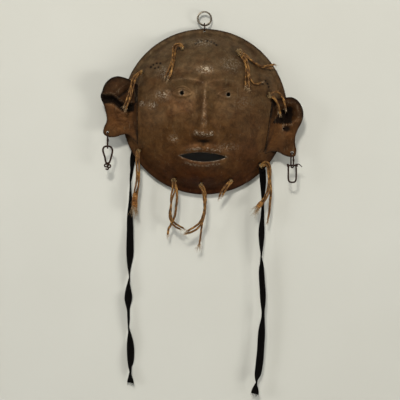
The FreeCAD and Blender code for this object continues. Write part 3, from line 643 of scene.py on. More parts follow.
class Tubes:
    """Collects tubes, and makes one piece of them."""

    def __init__(self):
        self.vertices = []
        self.faces = []
        self.grooves = []

    def add(self, line, radii, sides=12, plied=False, closed=False):
        """A tube along a line. Its plies, if any, wind round it once in each lay of length."""
        line = np.asarray(line, dtype=float)
        _, normals, sideways = frames_along(line)
        angles = round_angles(sides)
        turned = angles * STRAND_PLIES / 2 + math.pi * distances(line)[:, None] / STRAND_LAY
        grooves = (1 - np.abs(np.cos(turned))) * plied
        reach = np.broadcast_to(radii, len(line))[:, None] * (1 - GROOVE_DEPTH * grooves**1.5)
        around = (
            np.cos(angles)[:, None] * normals[:, None] + np.sin(angles)[:, None] * sideways[:, None])
        base = len(self.vertices)
        self.vertices.extend((line[:, None] + reach[..., None] * around).reshape(-1, 3))
        self.grooves.extend(grooves.ravel())
        self.faces += between_rows(len(line), sides, base, closed)
        if not closed:
            last = base + (len(line) - 1) * sides
            self.faces.append(tuple(base + k for k in reversed(range(sides))))
            self.faces.append(tuple(last + k for k in range(sides)))

    def place(self, name, material, body, slot, *nodes):
        """All the tubes as one placed piece."""
        made = make_object(name, self.vertices, self.faces, material, {"groove_shade": self.grooves})
        return place_piece(made, body, slot, *nodes)


def place_piece(piece, body, slot, *nodes):
    """The piece rides on its body and stands for its CAD nodes, which it hides. Its slot is not used.
    """
    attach(piece, body)
    if nodes:
        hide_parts(*nodes)
    return piece


# ---------------- pressed sheets
def inside(points, outline):
    """Which points lie inside a closed outline, by the even-odd rule."""
    x = points[:, 0]
    z = points[:, 1]
    found = np.zeros(len(points), dtype=bool)
    for (x0, z0), (x1, z1) in zip(outline, np.roll(outline, -1, axis=0)):
        if z0 == z1:
            continue
        crosses = ((z0 > z) != (z1 > z)) & (x < (x1 - x0) * (z - z0) / (z1 - z0) + x0)
        found ^= crosses
    return found


def nearest(points, others):
    """How far each point is from the nearest of the others."""
    found = np.full(len(points), 1e9)
    for other in others:
        found = np.minimum(found, np.hypot(*(points - other).T))
    return found


def circle(x, z, radius, count):
    """A closed round outline."""
    angles = round_angles(count)
    return np.stack([x + radius * np.cos(angles), z + radius * np.sin(angles)], axis=1)


def mouth_outline():
    """The lens of the mouth slit: two arcs that meet at the corners."""
    def arc(rise, turns):
        radius = (MOUTH_HALF_WIDTH**2 + rise**2) / (2 * abs(rise))
        spread = math.asin(MOUTH_HALF_WIDTH / radius) * turns
        drop = radius - abs(rise)
        return radius * np.sin(spread), np.sign(rise) * (radius * np.cos(spread) - drop)

    sweep = np.linspace(-1, 1, 35, endpoint=False)
    across, rise = np.concatenate([arc(LIP_UP, sweep), arc(-LIP_DOWN, -sweep)], axis=1)
    return np.stack(from_own_axes(across, rise + MOUTH), axis=1)


def ear_outline(side, spacing):
    """The closed outline of an ear: a smooth curve, then straight back to its start."""
    corners = np.array([(x, rise - FACE_DROP) for x, rise in EAR_OUTLINES[side]])
    ends = [2 * corners[0] - corners[1], *corners, 2 * corners[-1] - corners[-2]]
    count = max(2, int(np.hypot(*(corners[0] - corners[-1])) / spacing))
    t = np.linspace(0, 1, count, endpoint=False)[:, None]
    straight = corners[-1] + (corners[0] - corners[-1]) * t
    return np.concatenate([smooth_curve(ends, spacing), straight])


# The dents of the hammer: how far apart, and from how shallow to how deep.
DENT_SPACING = 8.0
DENT_DEPTHS = (0.10, 0.34)
# The punched dots, and the rings of extra mesh points round each with no other points near them.
DOT_RADIUS = 1.45
DOT_DEPTH = 0.9
DOT_RINGS = (0.9, 1.7, 2.5)
DOT_CLEAR = 3.0
# The mesh: how far apart its rows are and how near it comes to an edge, as shares of its spacing,
# and how far off the sheet's height is read to tell ridges from hollows.
ROW_SHARE = 0.866
EDGE_SHARE = 0.6
BEND_REACH = 3.0


def hammered(x, z, seed):
    """The unevenness of sheet that was beaten by hand: shallow dents side by side, and slow waves."""
    draw = np.random.default_rng(seed)
    columns, rows = [
        np.arange(side.min() - DENT_SPACING, side.max() + DENT_SPACING, DENT_SPACING)
        for side in (x, z)]
    places = np.stack(np.meshgrid(columns, rows), axis=-1).reshape(-1, 2)
    places = places + draw.uniform(-0.45, 0.45, places.shape) * DENT_SPACING
    depths = draw.uniform(*DENT_DEPTHS, len(places))
    tree = kdtree.KDTree(len(places))
    for i, place in enumerate(places):
        tree.insert((*place, 0), i)
    tree.balance()
    height = np.empty(len(x))
    for i, place in enumerate(zip(x, z)):
        (_, first, near), (_, _, far) = tree.find_n((*place, 0), 2)
        height[i] = depths[first] * (near / max(far, 1e-6)) ** 2
    for across, up, phase, size in draw.uniform(-1, 1, (7, 4)):
        height += 0.10 * size * np.sin((across * x + up * z) * 0.16 + phase * math.pi)
    return height


def grid_in(outline, holes, dots, spacing):
    """Evenly spaced points inside an outline, clear of its holes, and rings of them round dots."""
    low = outline.min(axis=0)
    high = outline.max(axis=0)
    columns = np.arange(low[0], high[0], spacing)
    rows = np.arange(low[1], high[1], spacing * ROW_SHARE)
    grid = np.stack(np.meshgrid(columns, rows), axis=-1)
    grid[1::2, :, 0] += spacing / 2
    grid = grid.reshape(-1, 2)
    grid = grid[inside(grid, outline)]
    grid = grid[nearest(grid, np.concatenate([outline, *holes])) > spacing * EDGE_SHARE]
    for hole in holes:
        grid = grid[~inside(grid, hole)]
    if len(dots):
        rings = [circle(x, z, radius, 10) for x, z in dots for radius in DOT_RINGS]
        grid = grid[nearest(grid, np.array(dots)) > DOT_CLEAR]
        grid = np.concatenate([grid, np.array(dots), *rings])
    return grid


def sheet_mesh(outline, holes, dots, spacing):
    """The points and triangles of a flat sheet with an outline and holes."""
    grid = grid_in(outline, holes, dots, spacing)
    loops = []
    start = 0
    for loop in (outline, *holes):
        loops += [(start + i, start + (i + 1) % len(loop)) for i in range(len(loop))]
        start += len(loop)
    flat = [Vector(point) for point in np.concatenate([outline, *holes, grid])]
    found = geometry.delaunay_2d_cdt(flat, loops, [], 0, 1e-6)
    points = np.array([tuple(v) for v in found[0]])
    faces = np.array(found[2])
    middles = points[faces].mean(axis=1)
    kept = inside(middles, outline)
    for hole in holes:
        kept &= ~inside(middles, hole)
    used, faces = np.unique(faces[kept], return_inverse=True)
    return points[used], faces.reshape(-1, 3)


def pressed_sheet(
        name, outline, holes, height, extra, shade_and_darkening, shine, spacing, seed, material, dots=()):
    """Sheet metal pressed to a height, with an outline and holes, hammered all over. Its points
    carry how far each is worn bare, partly as a painted highlight, and how far it is darkened, as
    patina in its hollows and as painted shade in its dots, along its edges and where the given
    darkening says."""
    points, faces = sheet_mesh(outline, holes, dots, spacing)
    x, z = points.T
    plain = height(x, z)
    around = sum(
        height(x + BEND_REACH * across, z + BEND_REACH * up)
        for across, up in ((1, 0), (-1, 0), (0, 1), (0, -1)))
    bend = around / 4 - plain
    dotted = sum((swell(np.hypot(x - at_x, z - at_z), DOT_RADIUS) for at_x, at_z in dots), 0 * x)
    front = plain + SHEET_THICK - hammered(x, z, seed) + extra(x, z) - DOT_DEPTH * dotted
    vertices = np.stack([x, RIM_BACK - front, z], axis=1) * MM
    corners = vertices[faces]
    facing = np.cross(corners[:, 1] - corners[:, 0], corners[:, 2] - corners[:, 0])[:, 1]
    faces[facing > 0] = faces[facing > 0][:, ::-1]
    from_edge = nearest(points, outline)
    worn_share, rubbed_and_glint = shine(x, z)
    raised = np.clip(-bend * 1.5 - 0.5, 0, 0.6)
    # Bare worn metal on ridges, round the edge and at the rubbed places, partly a painted highlight.
    wear_and_glint = raised * worn_share + rubbed_and_glint + 0.12 * swell(from_edge, 0.7)
    # Dark patina in the hollows; painted shade in the punched dots and from the darkening passed in.
    soot_and_shade = np.clip(bend * 1.5 - 0.3, 0, 1) + np.clip(dotted * 1.6, 0, 1) + shade_and_darkening(x, z)
    # Painted shade along the outline, where the sheet turns away and meets what lies under it.
    soot_and_shade += 0.45 * swell(from_edge, 1.8) + 0.30 * swell(from_edge, 5.5)
    made = make_object(
        name, vertices, faces, material,
        {"wear_and_glint": np.clip(wear_and_glint, 0, 1), "soot_and_shade": np.clip(soot_and_shade, 0, 1)})
    thicken = made.modifiers.new("thickness", "SOLIDIFY")
    thicken.thickness = SHEET_THICK * MM * 0.92
    thicken.offset = -1
    return made


def eyelids(x, z):
    """Narrow raised lids round each eye, with a crease above them."""
    across, up = own_axes(x, z)
    side = np.abs(across) - EYE_SPREAD
    rise = up - EYE
    width = np.maximum(0.0, 1 - (side / 14.5) ** 2)
    lids = 1.1 * swell(rise - 6.6 * width + 0.6, 1.3) + 0.8 * swell(rise + 5.0 * width + 0.2, 1.2)
    crease = 0.9 * swell(rise - 9.6 * width - 0.4, 1.6)
    return np.exp(-((side / 13.5) ** 6)) * (lids - crease)


# Small punched dents: x and rise.
FOREHEAD_DOTS = [
    (-12.0, 92.0), (-8.6, 94.6), (-4.4, 96.2), (4.0, 96.4), (9.2, 95.2), (13.4, 92.8), (16.4, 90.0),
    (-74.0, 60.0), (-70.4, 63.0), (-65.8, 64.8), (-60.8, 64.2), (-68.0, 57.6), (-63.2, 58.6),
    (49.0, 76.6), (55.2, 69.8), (84.0, 41.0), (87.0, 37.0), (88.6, 32.6), (80.4, 36.4), (60.0, 26.8),
]

# Where the face is rubbed bare, partly a painted highlight: x, rise, half the width and height, and
# how bare.
SHINY_PLACES = [
    (1, 53, 8, 4, 1.0), (-2, 94, 14, 6, 0.42), (-54, 51, 10, 8, 0.42), (-71, 5.5, 5, 4, 0.75),
    (-86, 9, 3.5, 3, 0.85), (-42, -40, 4.5, 4.5, 0.60), (-58, 19, 9, 6, 0.38),
    (36, 62, 12, 10, 0.32), (30, -52, 14, 4, 0.22), (52, 8, 12, 9, 0.12)]

# How wide some holes are drawn, as a share of their width in the CAD: they close round their wire.
WORN_SHUT = {"link": 0.74, "left": 0.70, "right": 1.0}


def make_face_plate(material):
    """The domed face."""
    eyes = [circle(*from_own_axes(side * EYE_SPREAD, EYE), EYE_HOLE_RADIUS, 24) for side in (-1, 1)]
    ties = [circle(x, z, TIE_HOLE_RADIUS, 12) for x, z, *_ in KNOTS.values()]
    link = circle(0, LINK_BOTTOM, LINK_HOLE_RADIUS * WORN_SHUT["link"], 12)
    openings = [mouth_outline(), *eyes]
    dots = [(x, rise - FACE_DROP) for x, rise in FOREHEAD_DOTS]
    covers = [ear_outline(side, 3.0) for side in EAR_OUTLINES]

    # Painted shade where the ears cover the face, and a darker right cheek.
    def shade_and_darkening(x, z):
        places = np.stack([x, z], axis=1)
        covered = inside(places, covers[0]) | inside(places, covers[1])
        return covered + 0.34 * hill(x - 60, z + FACE_DROP + 22, 34, 40)

    def shine(x, z):
        # Bare metal round the openings and at the shiny places, partly a painted highlight.
        rubbed_and_glint = 0.9 * swell(nearest(np.stack([x, z], axis=1), np.concatenate(openings)), 0.8)
        for across, rise, wide, high, share in SHINY_PLACES:
            rubbed_and_glint += share * hill(x - across, z + FACE_DROP - rise, wide, high)
        return 1.0, rubbed_and_glint

    made = pressed_sheet(
        "face_sheet", circle(0, -FACE_DROP, FACE_RADIUS, 360), [*openings, *ties, link], face_back,
        eyelids, shade_and_darkening, shine, 1.25, FACE_SEED, material, dots)
    return place_piece(made, "mask", "face_iron", "face_plate")


def left_ear_crest(x, rise):
    """How far a point is off the crest of the hood, and how much of the crest is there."""
    off = (x + 122) * 0.609 - (rise - 19) * 0.793
    return off, smooth_step((x + 126) / 6) * smooth_step((-99 - x) / 8)


def left_ear_extra(x, z):
    """A narrow crest that runs up the hood towards the face, with a sharp crease below it."""
    off, run = left_ear_crest(x, z + FACE_DROP)
    return run * (0.5 * swell(off, 1.6) - 0.9 * swell(off - 3.2, 1.5))


def left_ear_shade_and_darkening(x, z):
    """Painted shade: black in the fold under the hood and along the crease of the crest. The hood is
    also darker.
    """
    rise = z + FACE_DROP
    fold = 4.5 + 11.5 * smooth_step((-111 - x) / 18)
    ends = smooth_step((x + 147) / 3) * smooth_step((-95 - x) / 4)
    depth = 0.90 + 0.35 * swell(x + 138, 7) + 0.35 * swell(x + 103, 7)
    off, run = left_ear_crest(x, rise)
    hood = 0.50 * smooth_step((rise - fold - 4) / 6)
    under = ends * depth * np.exp(-(((rise - fold) / 5.9) ** 6))
    return under + 0.5 * run * swell(off - 3.4, 1.7) + hood


def right_ear_extra(x, z):
    """A torn edge that curls up between the two openings, and a fold that runs down from it."""
    rise = z + FACE_DROP
    bridge = 2.0 * hill(x - 114, rise + 19.2, 5, 1.4)
    fold = 1.6 * swell(x - 108.6 - 0.15 * (rise + 24), 1.3) * hill(0, rise + 22, 1, 6)
    crack = -1.0 * swell(rise + 14.6 + 0.42 * (x - 102), 1.2) * hill(x - 102, 0, 5.5, 1)
    return bridge + fold + crack


def right_ear_shade_and_darkening(x, z):
    """Painted shade: black in the torn hollow and the hole below it, in the crack, and down the lobe.
    The upper roll is also darker.
    """
    rise = z + FACE_DROP
    ragged = np.sin(x * 1.3) * np.sin(rise * 0.9)
    slant = ((x - 94) * 20 - (rise + 15) * 18) / 26.9 + 0.9 * ragged
    hollow = smooth_step(slant / 2.4) * smooth_step((122.5 - x + 0.8 * ragged) / 3)
    hollow *= smooth_step((rise + 18.3 + 0.7 * np.sin(x * 1.7)) / 1.6) * smooth_step((7 - rise) / 4)
    low = np.exp(-((((x - 113.4) / 5.2) ** 2 + ((rise + 25.0) / 4.4) ** 2) ** 2))
    crack = 0.9 * swell(rise + 14.6 + 0.42 * (x - 102), 1.6) * hill(x - 102, 0, 6, 1)
    lobe = 0.45 * hill(x - 112, rise + 47, 9, 9)
    roll = 0.45 * smooth_step((rise + 14) / 8)
    return 1.1 * hollow + 1.1 * low + crack + lobe + roll


def right_ear_shine(x, z):
    """Bare metal along the torn edge, and on the fold below it, partly a painted highlight."""
    rise = z + FACE_DROP
    bridge = 0.9 * hill(x - 114, rise + 19.2, 4.2, 1.0)
    fold = swell(x - 108.6 - 0.15 * (rise + 24), 1.0) * hill(0, rise + 23, 1, 5)
    return bridge + 0.8 * fold


EAR_EXTRAS = {"left": left_ear_extra, "right": right_ear_extra}
EAR_SHADE_AND_DARKENING = {"left": left_ear_shade_and_darkening, "right": right_ear_shade_and_darkening}
EAR_SEEDS = {"left": 23, "right": 31}


def torn_openings():
    """The right ear's openings: the two upper ones run together, each with a ragged edge. They
    keep to the side where the face's rim is behind them."""
    upper, middle, lower = CANALS["right"]
    angles = round_angles(40)
    ragged = 1 + 0.07 * np.sin(3 * angles + 1) + 0.05 * np.sin(7 * angles)
    return [
        np.stack([
            x + radius * ragged * np.cos(angles),
            rise - FACE_DROP + stretch * (radius * ragged) * np.sin(angles)], axis=1)
        for x, rise, radius, stretch in (
            (upper[0] - 1.8, (upper[1] + middle[1]) / 2, upper[2] * 0.9, 1.85),
            (lower[0] - 1.5, lower[1], lower[2] * 0.6, 1.0))]


def make_ear(side, material):
    """An ear plate."""
    lobe_x, lobe_rise = LOBE_HOLES[side]
    holes = [circle(lobe_x, lobe_rise - FACE_DROP, LOBE_HOLE_RADIUS * WORN_SHUT[side], 16)]
    if side == "left":
        holes += [circle(x, rise - FACE_DROP, radius, 24) for x, rise, radius in CANALS[side]]
    else:
        holes += torn_openings()

    def height(x, z):
        return ear_back(side, x, z)

    def shine(x, z):
        return 0.25, right_ear_shine(x, z) if side == "right" else 0.0

    made = pressed_sheet(
        f"ear_sheet_{side}", ear_outline(side, 1.2), holes, height, EAR_EXTRAS[side],
        EAR_SHADE_AND_DARKENING[side], shine, 1.1, EAR_SEEDS[side], material)
    return place_piece(made, "mask", "ear_iron", f"ear_{side}")


# ---------------- twine
# For each number of strands in a tie: the radius of one and how wide they lie, as shares.
STRAND_SHARES = {1: 0.58, 2: 0.335, 3: 0.265}
STRAND_SPREADS = {2: 1.15, 3: 1.65}
# The last stretch of a tie, where its strands fan out, and how much shorter, in points, some end.
FANNED_LENGTH = 0.026
STAGGERED = (0, 7, 4)
ROUTE_SPACING = 0.0006


def wobble(along, draw, size):
    """A slow random wander, different for each strand."""
    phases = draw.uniform(0, 2 * math.pi, 3)
    rates = draw.uniform(60, 190, 3)
    return size * sum(np.sin(along * rate + phase) for rate, phase in zip(rates, phases)) / 3


def strand_lines(line, diameter, count, draw):
    """The lines of the strands that make up a tie, and their radius. They lie side by side, cross
    now and then, and fan out at the end."""
    _, normals, sideways = frames_along(line)
    along = distances(line)
    radius = diameter * STRAND_SHARES[count]
    if count == 1:
        return [line + sideways * wobble(along, draw, radius * 0.4)[:, None]], radius
    wide = radius * STRAND_SPREADS[count]
    deep = radius * 1.03
    fan = 1 + 0.30 * smooth_step((along - along[-1] + FANNED_LENGTH) / FANNED_LENGTH)
    lay = draw.uniform(0.10, 0.16)
    start = draw.uniform(-0.5, 0.5)
    lines = []
    for k in range(count):
        angle = start + 2 * math.pi * (k / count + along / lay) + wobble(along, draw, 0.35)
        out = wide * fan * np.cos(angle) + wobble(along, draw, radius * 0.5)
        raised = deep * np.sin(angle)
        lines.append(line + sideways * out[:, None] + normals * raised[:, None])
    return lines, radius


def add_fray(fray, line, radius, draw, reach, count):
    """Loose fibres that flare from the end of a strand, and a few hairs along it."""
    direction = unit(line[-1] - line[-4])
    steps = np.linspace(0, 1, 7)[:, None]
    for _ in range(count):
        length = draw.uniform(0.4, 1.0) * reach
        spread = draw.normal(0, 0.34, 3) * (1, 0.5, 1) + (0, 0, -0.22)
        start = line[-1] - direction * 0.001 + draw.normal(0, radius * 0.42, 3)
        bend = direction * length * steps + spread * length * steps**1.7
        fray.add(start + bend, np.linspace(0.00024, 0.00009, 7), sides=5)
    steps = np.linspace(0, 1, 4)[:, None]
    for at in draw.integers(3, len(line) - 3, max(3, len(line) // 18)):
        outwards = unit(draw.normal(0, 1, 3))
        length = draw.uniform(0.0012, 0.0034)
        lean = unit(line[at + 1] - line[at])
        hair = line[at] + outwards * (radius * 0.8 + length * steps) + lean * length * steps**2
        fray.add(hair, 0.00008, sides=4)


def make_tie(label, knot, diameter, strands, points, looks):
    """One tie: its strands wound loosely round each other along its route, with frayed ends."""
    diameter = diameter * MM
    route = [knot_middle(knot), *(np.array(points) * MM)]
    line = smooth_route(route, ROUTE_SPACING)
    draw = np.random.default_rng(sum(map(ord, label)))
    lines, radius = strand_lines(line, diameter, strands, draw)
    tubes = Tubes()
    fray = Tubes()
    fray_reach, fray_count = LONG_FRAY if label in LONG_FRAYS else SHORT_FRAY
    for k, strand in enumerate(lines):
        strand = strand[:len(strand) - STAGGERED[k]]
        tubes.add(strand, radius, plied=True)
        add_fray(fray, strand, radius, draw, fray_reach, fray_count)
    tie = tubes.place(f"{label}_strands", looks["twine"], "mask", "twine", label)
    pieces = [fray.place(f"{label}_fray", looks["fray"], "mask", "twine")]
    if label in END_KNOTS:
        pieces.append(make_end_knot(label, line, looks["end_knot"]))


def make_end_knot(label, line, twine):
    """A barrel knot: the twine wound round itself near its end."""
    length, radius = END_KNOT_SIZES[label]
    wire = 0.00108
    at = int(np.argmin(np.linalg.norm(line - np.array(END_KNOTS[label]) * MM, axis=1)))
    axis = unit(line[min(at + 6, len(line) - 1)] - line[max(at - 6, 0)])
    across = unit(np.cross(axis, (0.0, 1.0, 0.0)))
    forward = np.cross(axis, across)
    turns = length / (2 * wire)
    share = np.linspace(0, 1, int(34 * turns))
    angle = share * turns * 2 * math.pi + 0.35 * np.sin(share * 17)
    reach = (radius - wire) * (0.80 + 0.20 * np.sin(share * math.pi) ** 0.6)
    slide = (share - 0.5) * length + 0.0007 * np.cos(angle + 0.8)
    tubes = Tubes()
    tubes.add(
        line[at] + np.outer(slide, axis)
        + (np.outer(np.cos(angle), across) + np.outer(np.sin(angle), forward)) * reach[:, None],
        wire, plied=True)
    name = label.replace("tie_", "end_knot_")
    return tubes.place(f"{name}_coil", twine, "mask", "twine", name)


def spin(points, turn, one, other):
    """Points turned by an angle in the plane of two axes."""
    turned = points.copy()
    turned[:, one] = points[:, one] * math.cos(turn) - points[:, other] * math.sin(turn)
    turned[:, other] = points[:, one] * math.sin(turn) + points[:, other] * math.cos(turn)
    return turned


def knotted_loop(size, flat, turn):
    """The closed line of a simple overhand knot, flattened along its own Z."""
    t = round_angles(150)
    x = np.sin(t) + 2 * np.sin(2 * t)
    y = np.cos(t) - 2 * np.cos(2 * t)
    return spin(np.stack([x, y, -np.sin(3 * t) * flat], axis=1) * size / 3, turn, 0, 1)


# A knot at a hole: its strands' largest radius, the smallest loop that is drawn inside its bead, and
# how far behind the front of the sheet its stopper is.
BEAD_STRAND = 0.00112
SMALLEST_BEAD = 0.0025
STOPPER_DEPTH = 0.0038


def make_knot(name, twine):
    """A knot: its bead in front of the sheet, the twine through the hole, and the stopper behind."""
    x, z, bead, drawn = KNOTS[name]
    normal = outward(x, z)
    turn = np.array(normal.to_track_quat("Z", "Y").to_matrix())
    normal = np.array(normal)
    foot = np.array(face_point(x, z))
    middle = np.array(knot_middle(name))
    radius = bead * drawn * MM
    strand = min(BEAD_STRAND, radius * 0.38)
    draw = random.Random(name)
    tubes = Tubes()
    for share, flat in ((1.0, 1.2), (0.62, 1.9)):
        if radius * share >= SMALLEST_BEAD:
            bead = knotted_loop((radius - strand) * share, flat, draw.uniform(0, 2 * math.pi))
            tubes.add(middle + bead @ turn.T, strand, plied=True, closed=True)
    waist = round_angles(60)
    tilt = draw.uniform(-0.6, 0.6)
    band = (radius - strand * 0.6) * np.stack([
        np.cos(waist) * 0.62, np.sin(waist), np.cos(waist) * math.tan(tilt) * 0.5], axis=1)
    tubes.add(middle + band @ turn.T, strand * 0.9, plied=True, closed=True)
    tubes.add(foot + np.outer(np.linspace(0.0030, -STOPPER_DEPTH, 14), normal), 0.00115, plied=True)
    stopper = knotted_loop(0.0016, 1.3, draw.uniform(0, 2 * math.pi)) @ turn.T
    tubes.add(stopper + (foot - normal * STOPPER_DEPTH), 0.00085, sides=10, plied=True, closed=True)
    tubes.place(f"twine_knot_{name}", twine, "mask", "twine", f"knot_{name}")


# ---------------- ribbons
# The points across a ribbon, half its thickness, and over how many points to each side its turning
# is evened out.
RIBBON_POINTS = 11
RIBBON_HALF_THICK = 0.00028
EASED_POINTS = 7


def make_ribbon(side, material):
    """A ribbon that turns over at a few heights, where it shows its edge, and hangs flat between."""
    label = f"ribbon_{side}"
    tied = make_ribbon_knot(side, material)
    plane, points, turned = RIBBONS[label]
    line = smooth_route(np.array([(x, plane, z) for x, z in points]) * MM, 0.0012)
    tangents = unit(np.gradient(line, axis=0))
    draw = np.random.default_rng(len(label) * 7)
    along = distances(line)
    heights, degrees = np.array(turned).T
    angle = np.radians(np.interp(-line[:, 2], -heights * MM, degrees))
    angle = np.concatenate([
        np.repeat(angle[0], EASED_POINTS), angle, np.repeat(angle[-1], EASED_POINTS)])
    eased = 2 * EASED_POINTS + 1
    angle = np.convolve(angle, np.ones(eased) / eased, "valid")
    pinch = np.abs(np.sin(angle)) ** 3
    sideways = unit(np.cross((0.0, 1.0, 0.0), tangents))
    forwards = np.cross(sideways, tangents)
    across = np.linspace(-1, 1, RIBBON_POINTS)
    width = RIBBON_WIDTH * MM / 2 * (0.98 - 0.30 * pinch + wobble(along, draw, 0.07))
    width = width * (1 + 0.10 * smooth_step((along - along[-1] + 0.012) / 0.012))
    fold = 0.0010 * (0.35 + pinch) * (1 + wobble(along, draw, 0.8))
    crease = draw.uniform(-0.5, 0.5)
    wide = sideways * np.cos(angle)[:, None] + forwards * np.sin(angle)[:, None]
    out = np.cross(tangents, wide)
    ridge = across - crease - 0.35 * np.sin(along * 34)[:, None]
    bow = fold[:, None] * (np.cos(across * math.pi / 2 * 1.1) - 0.5) + 0.00045 * swell(ridge, 0.16)
    middle = line[:, None] + (across * width[:, None])[..., None] * wide[:, None]
    middle = middle + bow[..., None] * out[:, None]
    thick = out[:, None] * RIBBON_HALF_THICK
    rings = np.concatenate([middle + thick, (middle - thick)[:, ::-1]], axis=1)
    count = 2 * RIBBON_POINTS
    faces = between_rows(len(line), count)
    last = (len(line) - 1) * count
    for k in range(RIBBON_POINTS - 1):
        other = count - 1 - k
        faces.append((k, other, other - 1, k + 1))
        faces.append((last + k, last + k + 1, last + other - 1, last + other))
    made = make_object(f"{label}_cloth", rings.reshape(-1, 3), faces, material)
    place_piece(made, "mask", "ribbon", label)
    threads = Tubes()
    left, right = rings[-1][0], rings[-1][RIBBON_POINTS - 1]
    steps = np.linspace(0, 1, 5)[:, None]
    for _ in range(26):
        start = left + (right - left) * (draw.uniform(-1, 1) + 1) / 2
        length = draw.uniform(0.0012, 0.0042)
        spread = draw.normal(0, 0.3, 3)
        threads.add(
            start + (tangents[-1] * steps + spread * steps**2) * length, 0.00009, sides=4)
    ends = threads.place(f"{label}_threads", material, "mask", "ribbon")


def make_ribbon_knot(side, material):
    """The folded and tied top of a ribbon."""
    low, high = np.array(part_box(f"ribbon_knot_{side}"))
    half = (high - low) / 2
    t = round_angles(60)
    tubes = Tubes()
    for k in range(3):
        loop = np.stack([
            np.cos(t) * half[0] * 0.72, np.sin(2 * t + k) * half[1] * 0.30,
            np.sin(t) * half[2] * 0.74], axis=1)
        tubes.add((low + high) / 2 + spin(loop, 0.5 * (k - 1), 0, 2), min(half) * 0.42, closed=True)
    return tubes.place(f"ribbon_tie_{side}", material, "mask", "ribbon", f"ribbon_knot_{side}")


# ---------------- ring, links and earrings
def make_split_ring(metal):
    """Two flat coils of wire: it winds round a little over twice, stepping sideways half way. The
    second coil is a little smaller, so both show from the front."""
    half_wide = 0.00080
    half_thick = 0.00050
    turns = 2.06
    pitch = 0.00112
    first, second = 0.00996, 0.00894
    share = np.linspace(0, 1, 190)
    angle = math.pi * 1.35 + share * turns * 2 * math.pi
    step = smooth_step((share - 0.42) / 0.16)
    radius = first - (first - second) * step
    sag = -0.00020 * (1 - step)
    line = np.stack([
        radius * np.cos(angle), (0.5 - step) * pitch, radius * np.sin(angle) + sag], axis=1)
    corners = []
    for turn in round_angles(16):
        c, s = [math.copysign(abs(x) ** 0.7, x) for x in (math.cos(turn), math.sin(turn))]
        corners.append((c * half_wide, s * half_thick))
    vertices = [
        centre + (math.cos(at) * across, along, math.sin(at) * across)
        for centre, at in zip(line, angle) for across, along in corners]
    count = len(corners)
    faces = [tuple(range(count)), tuple(reversed(range(len(vertices) - count, len(vertices))))]
    faces += [(b, a, d, c) for a, b, c, d in between_rows(len(line), count)]
    made = make_object("split_ring_coils", vertices, faces, metal)
    place_piece(made, "hanging_ring", "ring_steel", "split_ring")


ACROSS = np.array([1.0, 0, 0])
UP = np.array([0, 0, 1.0])


def closed_loop(centre, across, corners):
    """A closed smooth loop in the upright plane through across: points of distance and height."""
    places = [centre + across * distance + UP * height for distance, height in corners]
    return smooth_curve([places[-1], *places, *places[:2]])


def winding(start, axis, length, turns, radius, first, count=None):
    """A wire wound round an axis."""
    share = np.linspace(0, 1, count or int(turns * 22))
    across = unit(first - axis * first.dot(axis))
    forward = np.cross(axis, across)
    angle = share * turns * 2 * math.pi
    return start + np.outer(share * length, axis) + radius * (
        np.outer(np.cos(angle), across) + np.outer(np.sin(angle), forward))


def link_corners(half_width, length):
    """A long link with round ends, as distances across and heights."""
    angles = np.linspace(0, math.pi, 7)
    top = [(half_width * math.cos(a), -half_width + half_width * math.sin(a)) for a in angles]
    low = [(-x, -length - z) for x, z in top]
    middle = [(-half_width, -length / 2)]
    return top + middle + low + [(half_width, -length / 2)]


def make_link(
        name, node, body, centre, across, half_width, length, wire_radius, wire, lapped=True):
    """A hanging link of wire. If lapped, one end winds round its own leg."""
    tubes = Tubes()
    loop = closed_loop(centre, across, link_corners(half_width, length))
    tubes.add(loop, wire_radius, sides=14, closed=True)
    if lapped:
        lap = 0.0030
        thin = wire_radius * 0.42
        start = centre + across * half_width - UP * (length + lap) / 2
        tubes.add(
            winding(start, -UP, -lap, 2.2, wire_radius + thin * 0.85, across, 40), thin, sides=8)
    tubes.place(name, wire, body, "iron_wire", node)


# The link at the top of the face: half its width, its length and its wire's radius, and its top's z.
LINK = (0.0027, 0.01095, 0.0008)
LINK_TOP = -0.00695
# The hooks in the lobes: half the width, the length, and how far each is turned from the front.
HOOK_RADIUS = 0.00098
HOOKS = {"left": (0.0026, 0.0217, 0.0), "right": (0.0032, 0.0205, math.radians(38))}


def lobe_point(side):
    """The middle of the sheet at the hole in an ear's lobe, in metres."""
    x, rise = LOBE_HOLES[side]
    z = rise - FACE_DROP
    return np.array([x, RIM_BACK - ear_back(side, x, z) - SHEET_THICK / 2, z]) * MM


def loop_top(side):
    """The middle of the top wire of an earring's loop, where it hangs in its hook."""
    half_width, length, _ = HOOKS[side]
    return lobe_point(side) - UP * (length - half_width)


def make_hooks(wire):
    """The link at the top of the face, and the hook through each lobe."""
    make_link(
        "hanger_wire", "hanger_link", "hanger_link", UP * LINK_TOP, np.array([0, 1.0, 0]), *LINK,
        wire, lapped=False)
    for side, (half_width, length, turn) in HOOKS.items():
        across = np.array([math.sin(turn), math.cos(turn), 0])
        make_link(
            f"hook_wire_{side}", f"earring_hook_{side}", f"{side}_earring_hook", lobe_point(side),
            across, half_width, length, HOOK_RADIUS, wire)


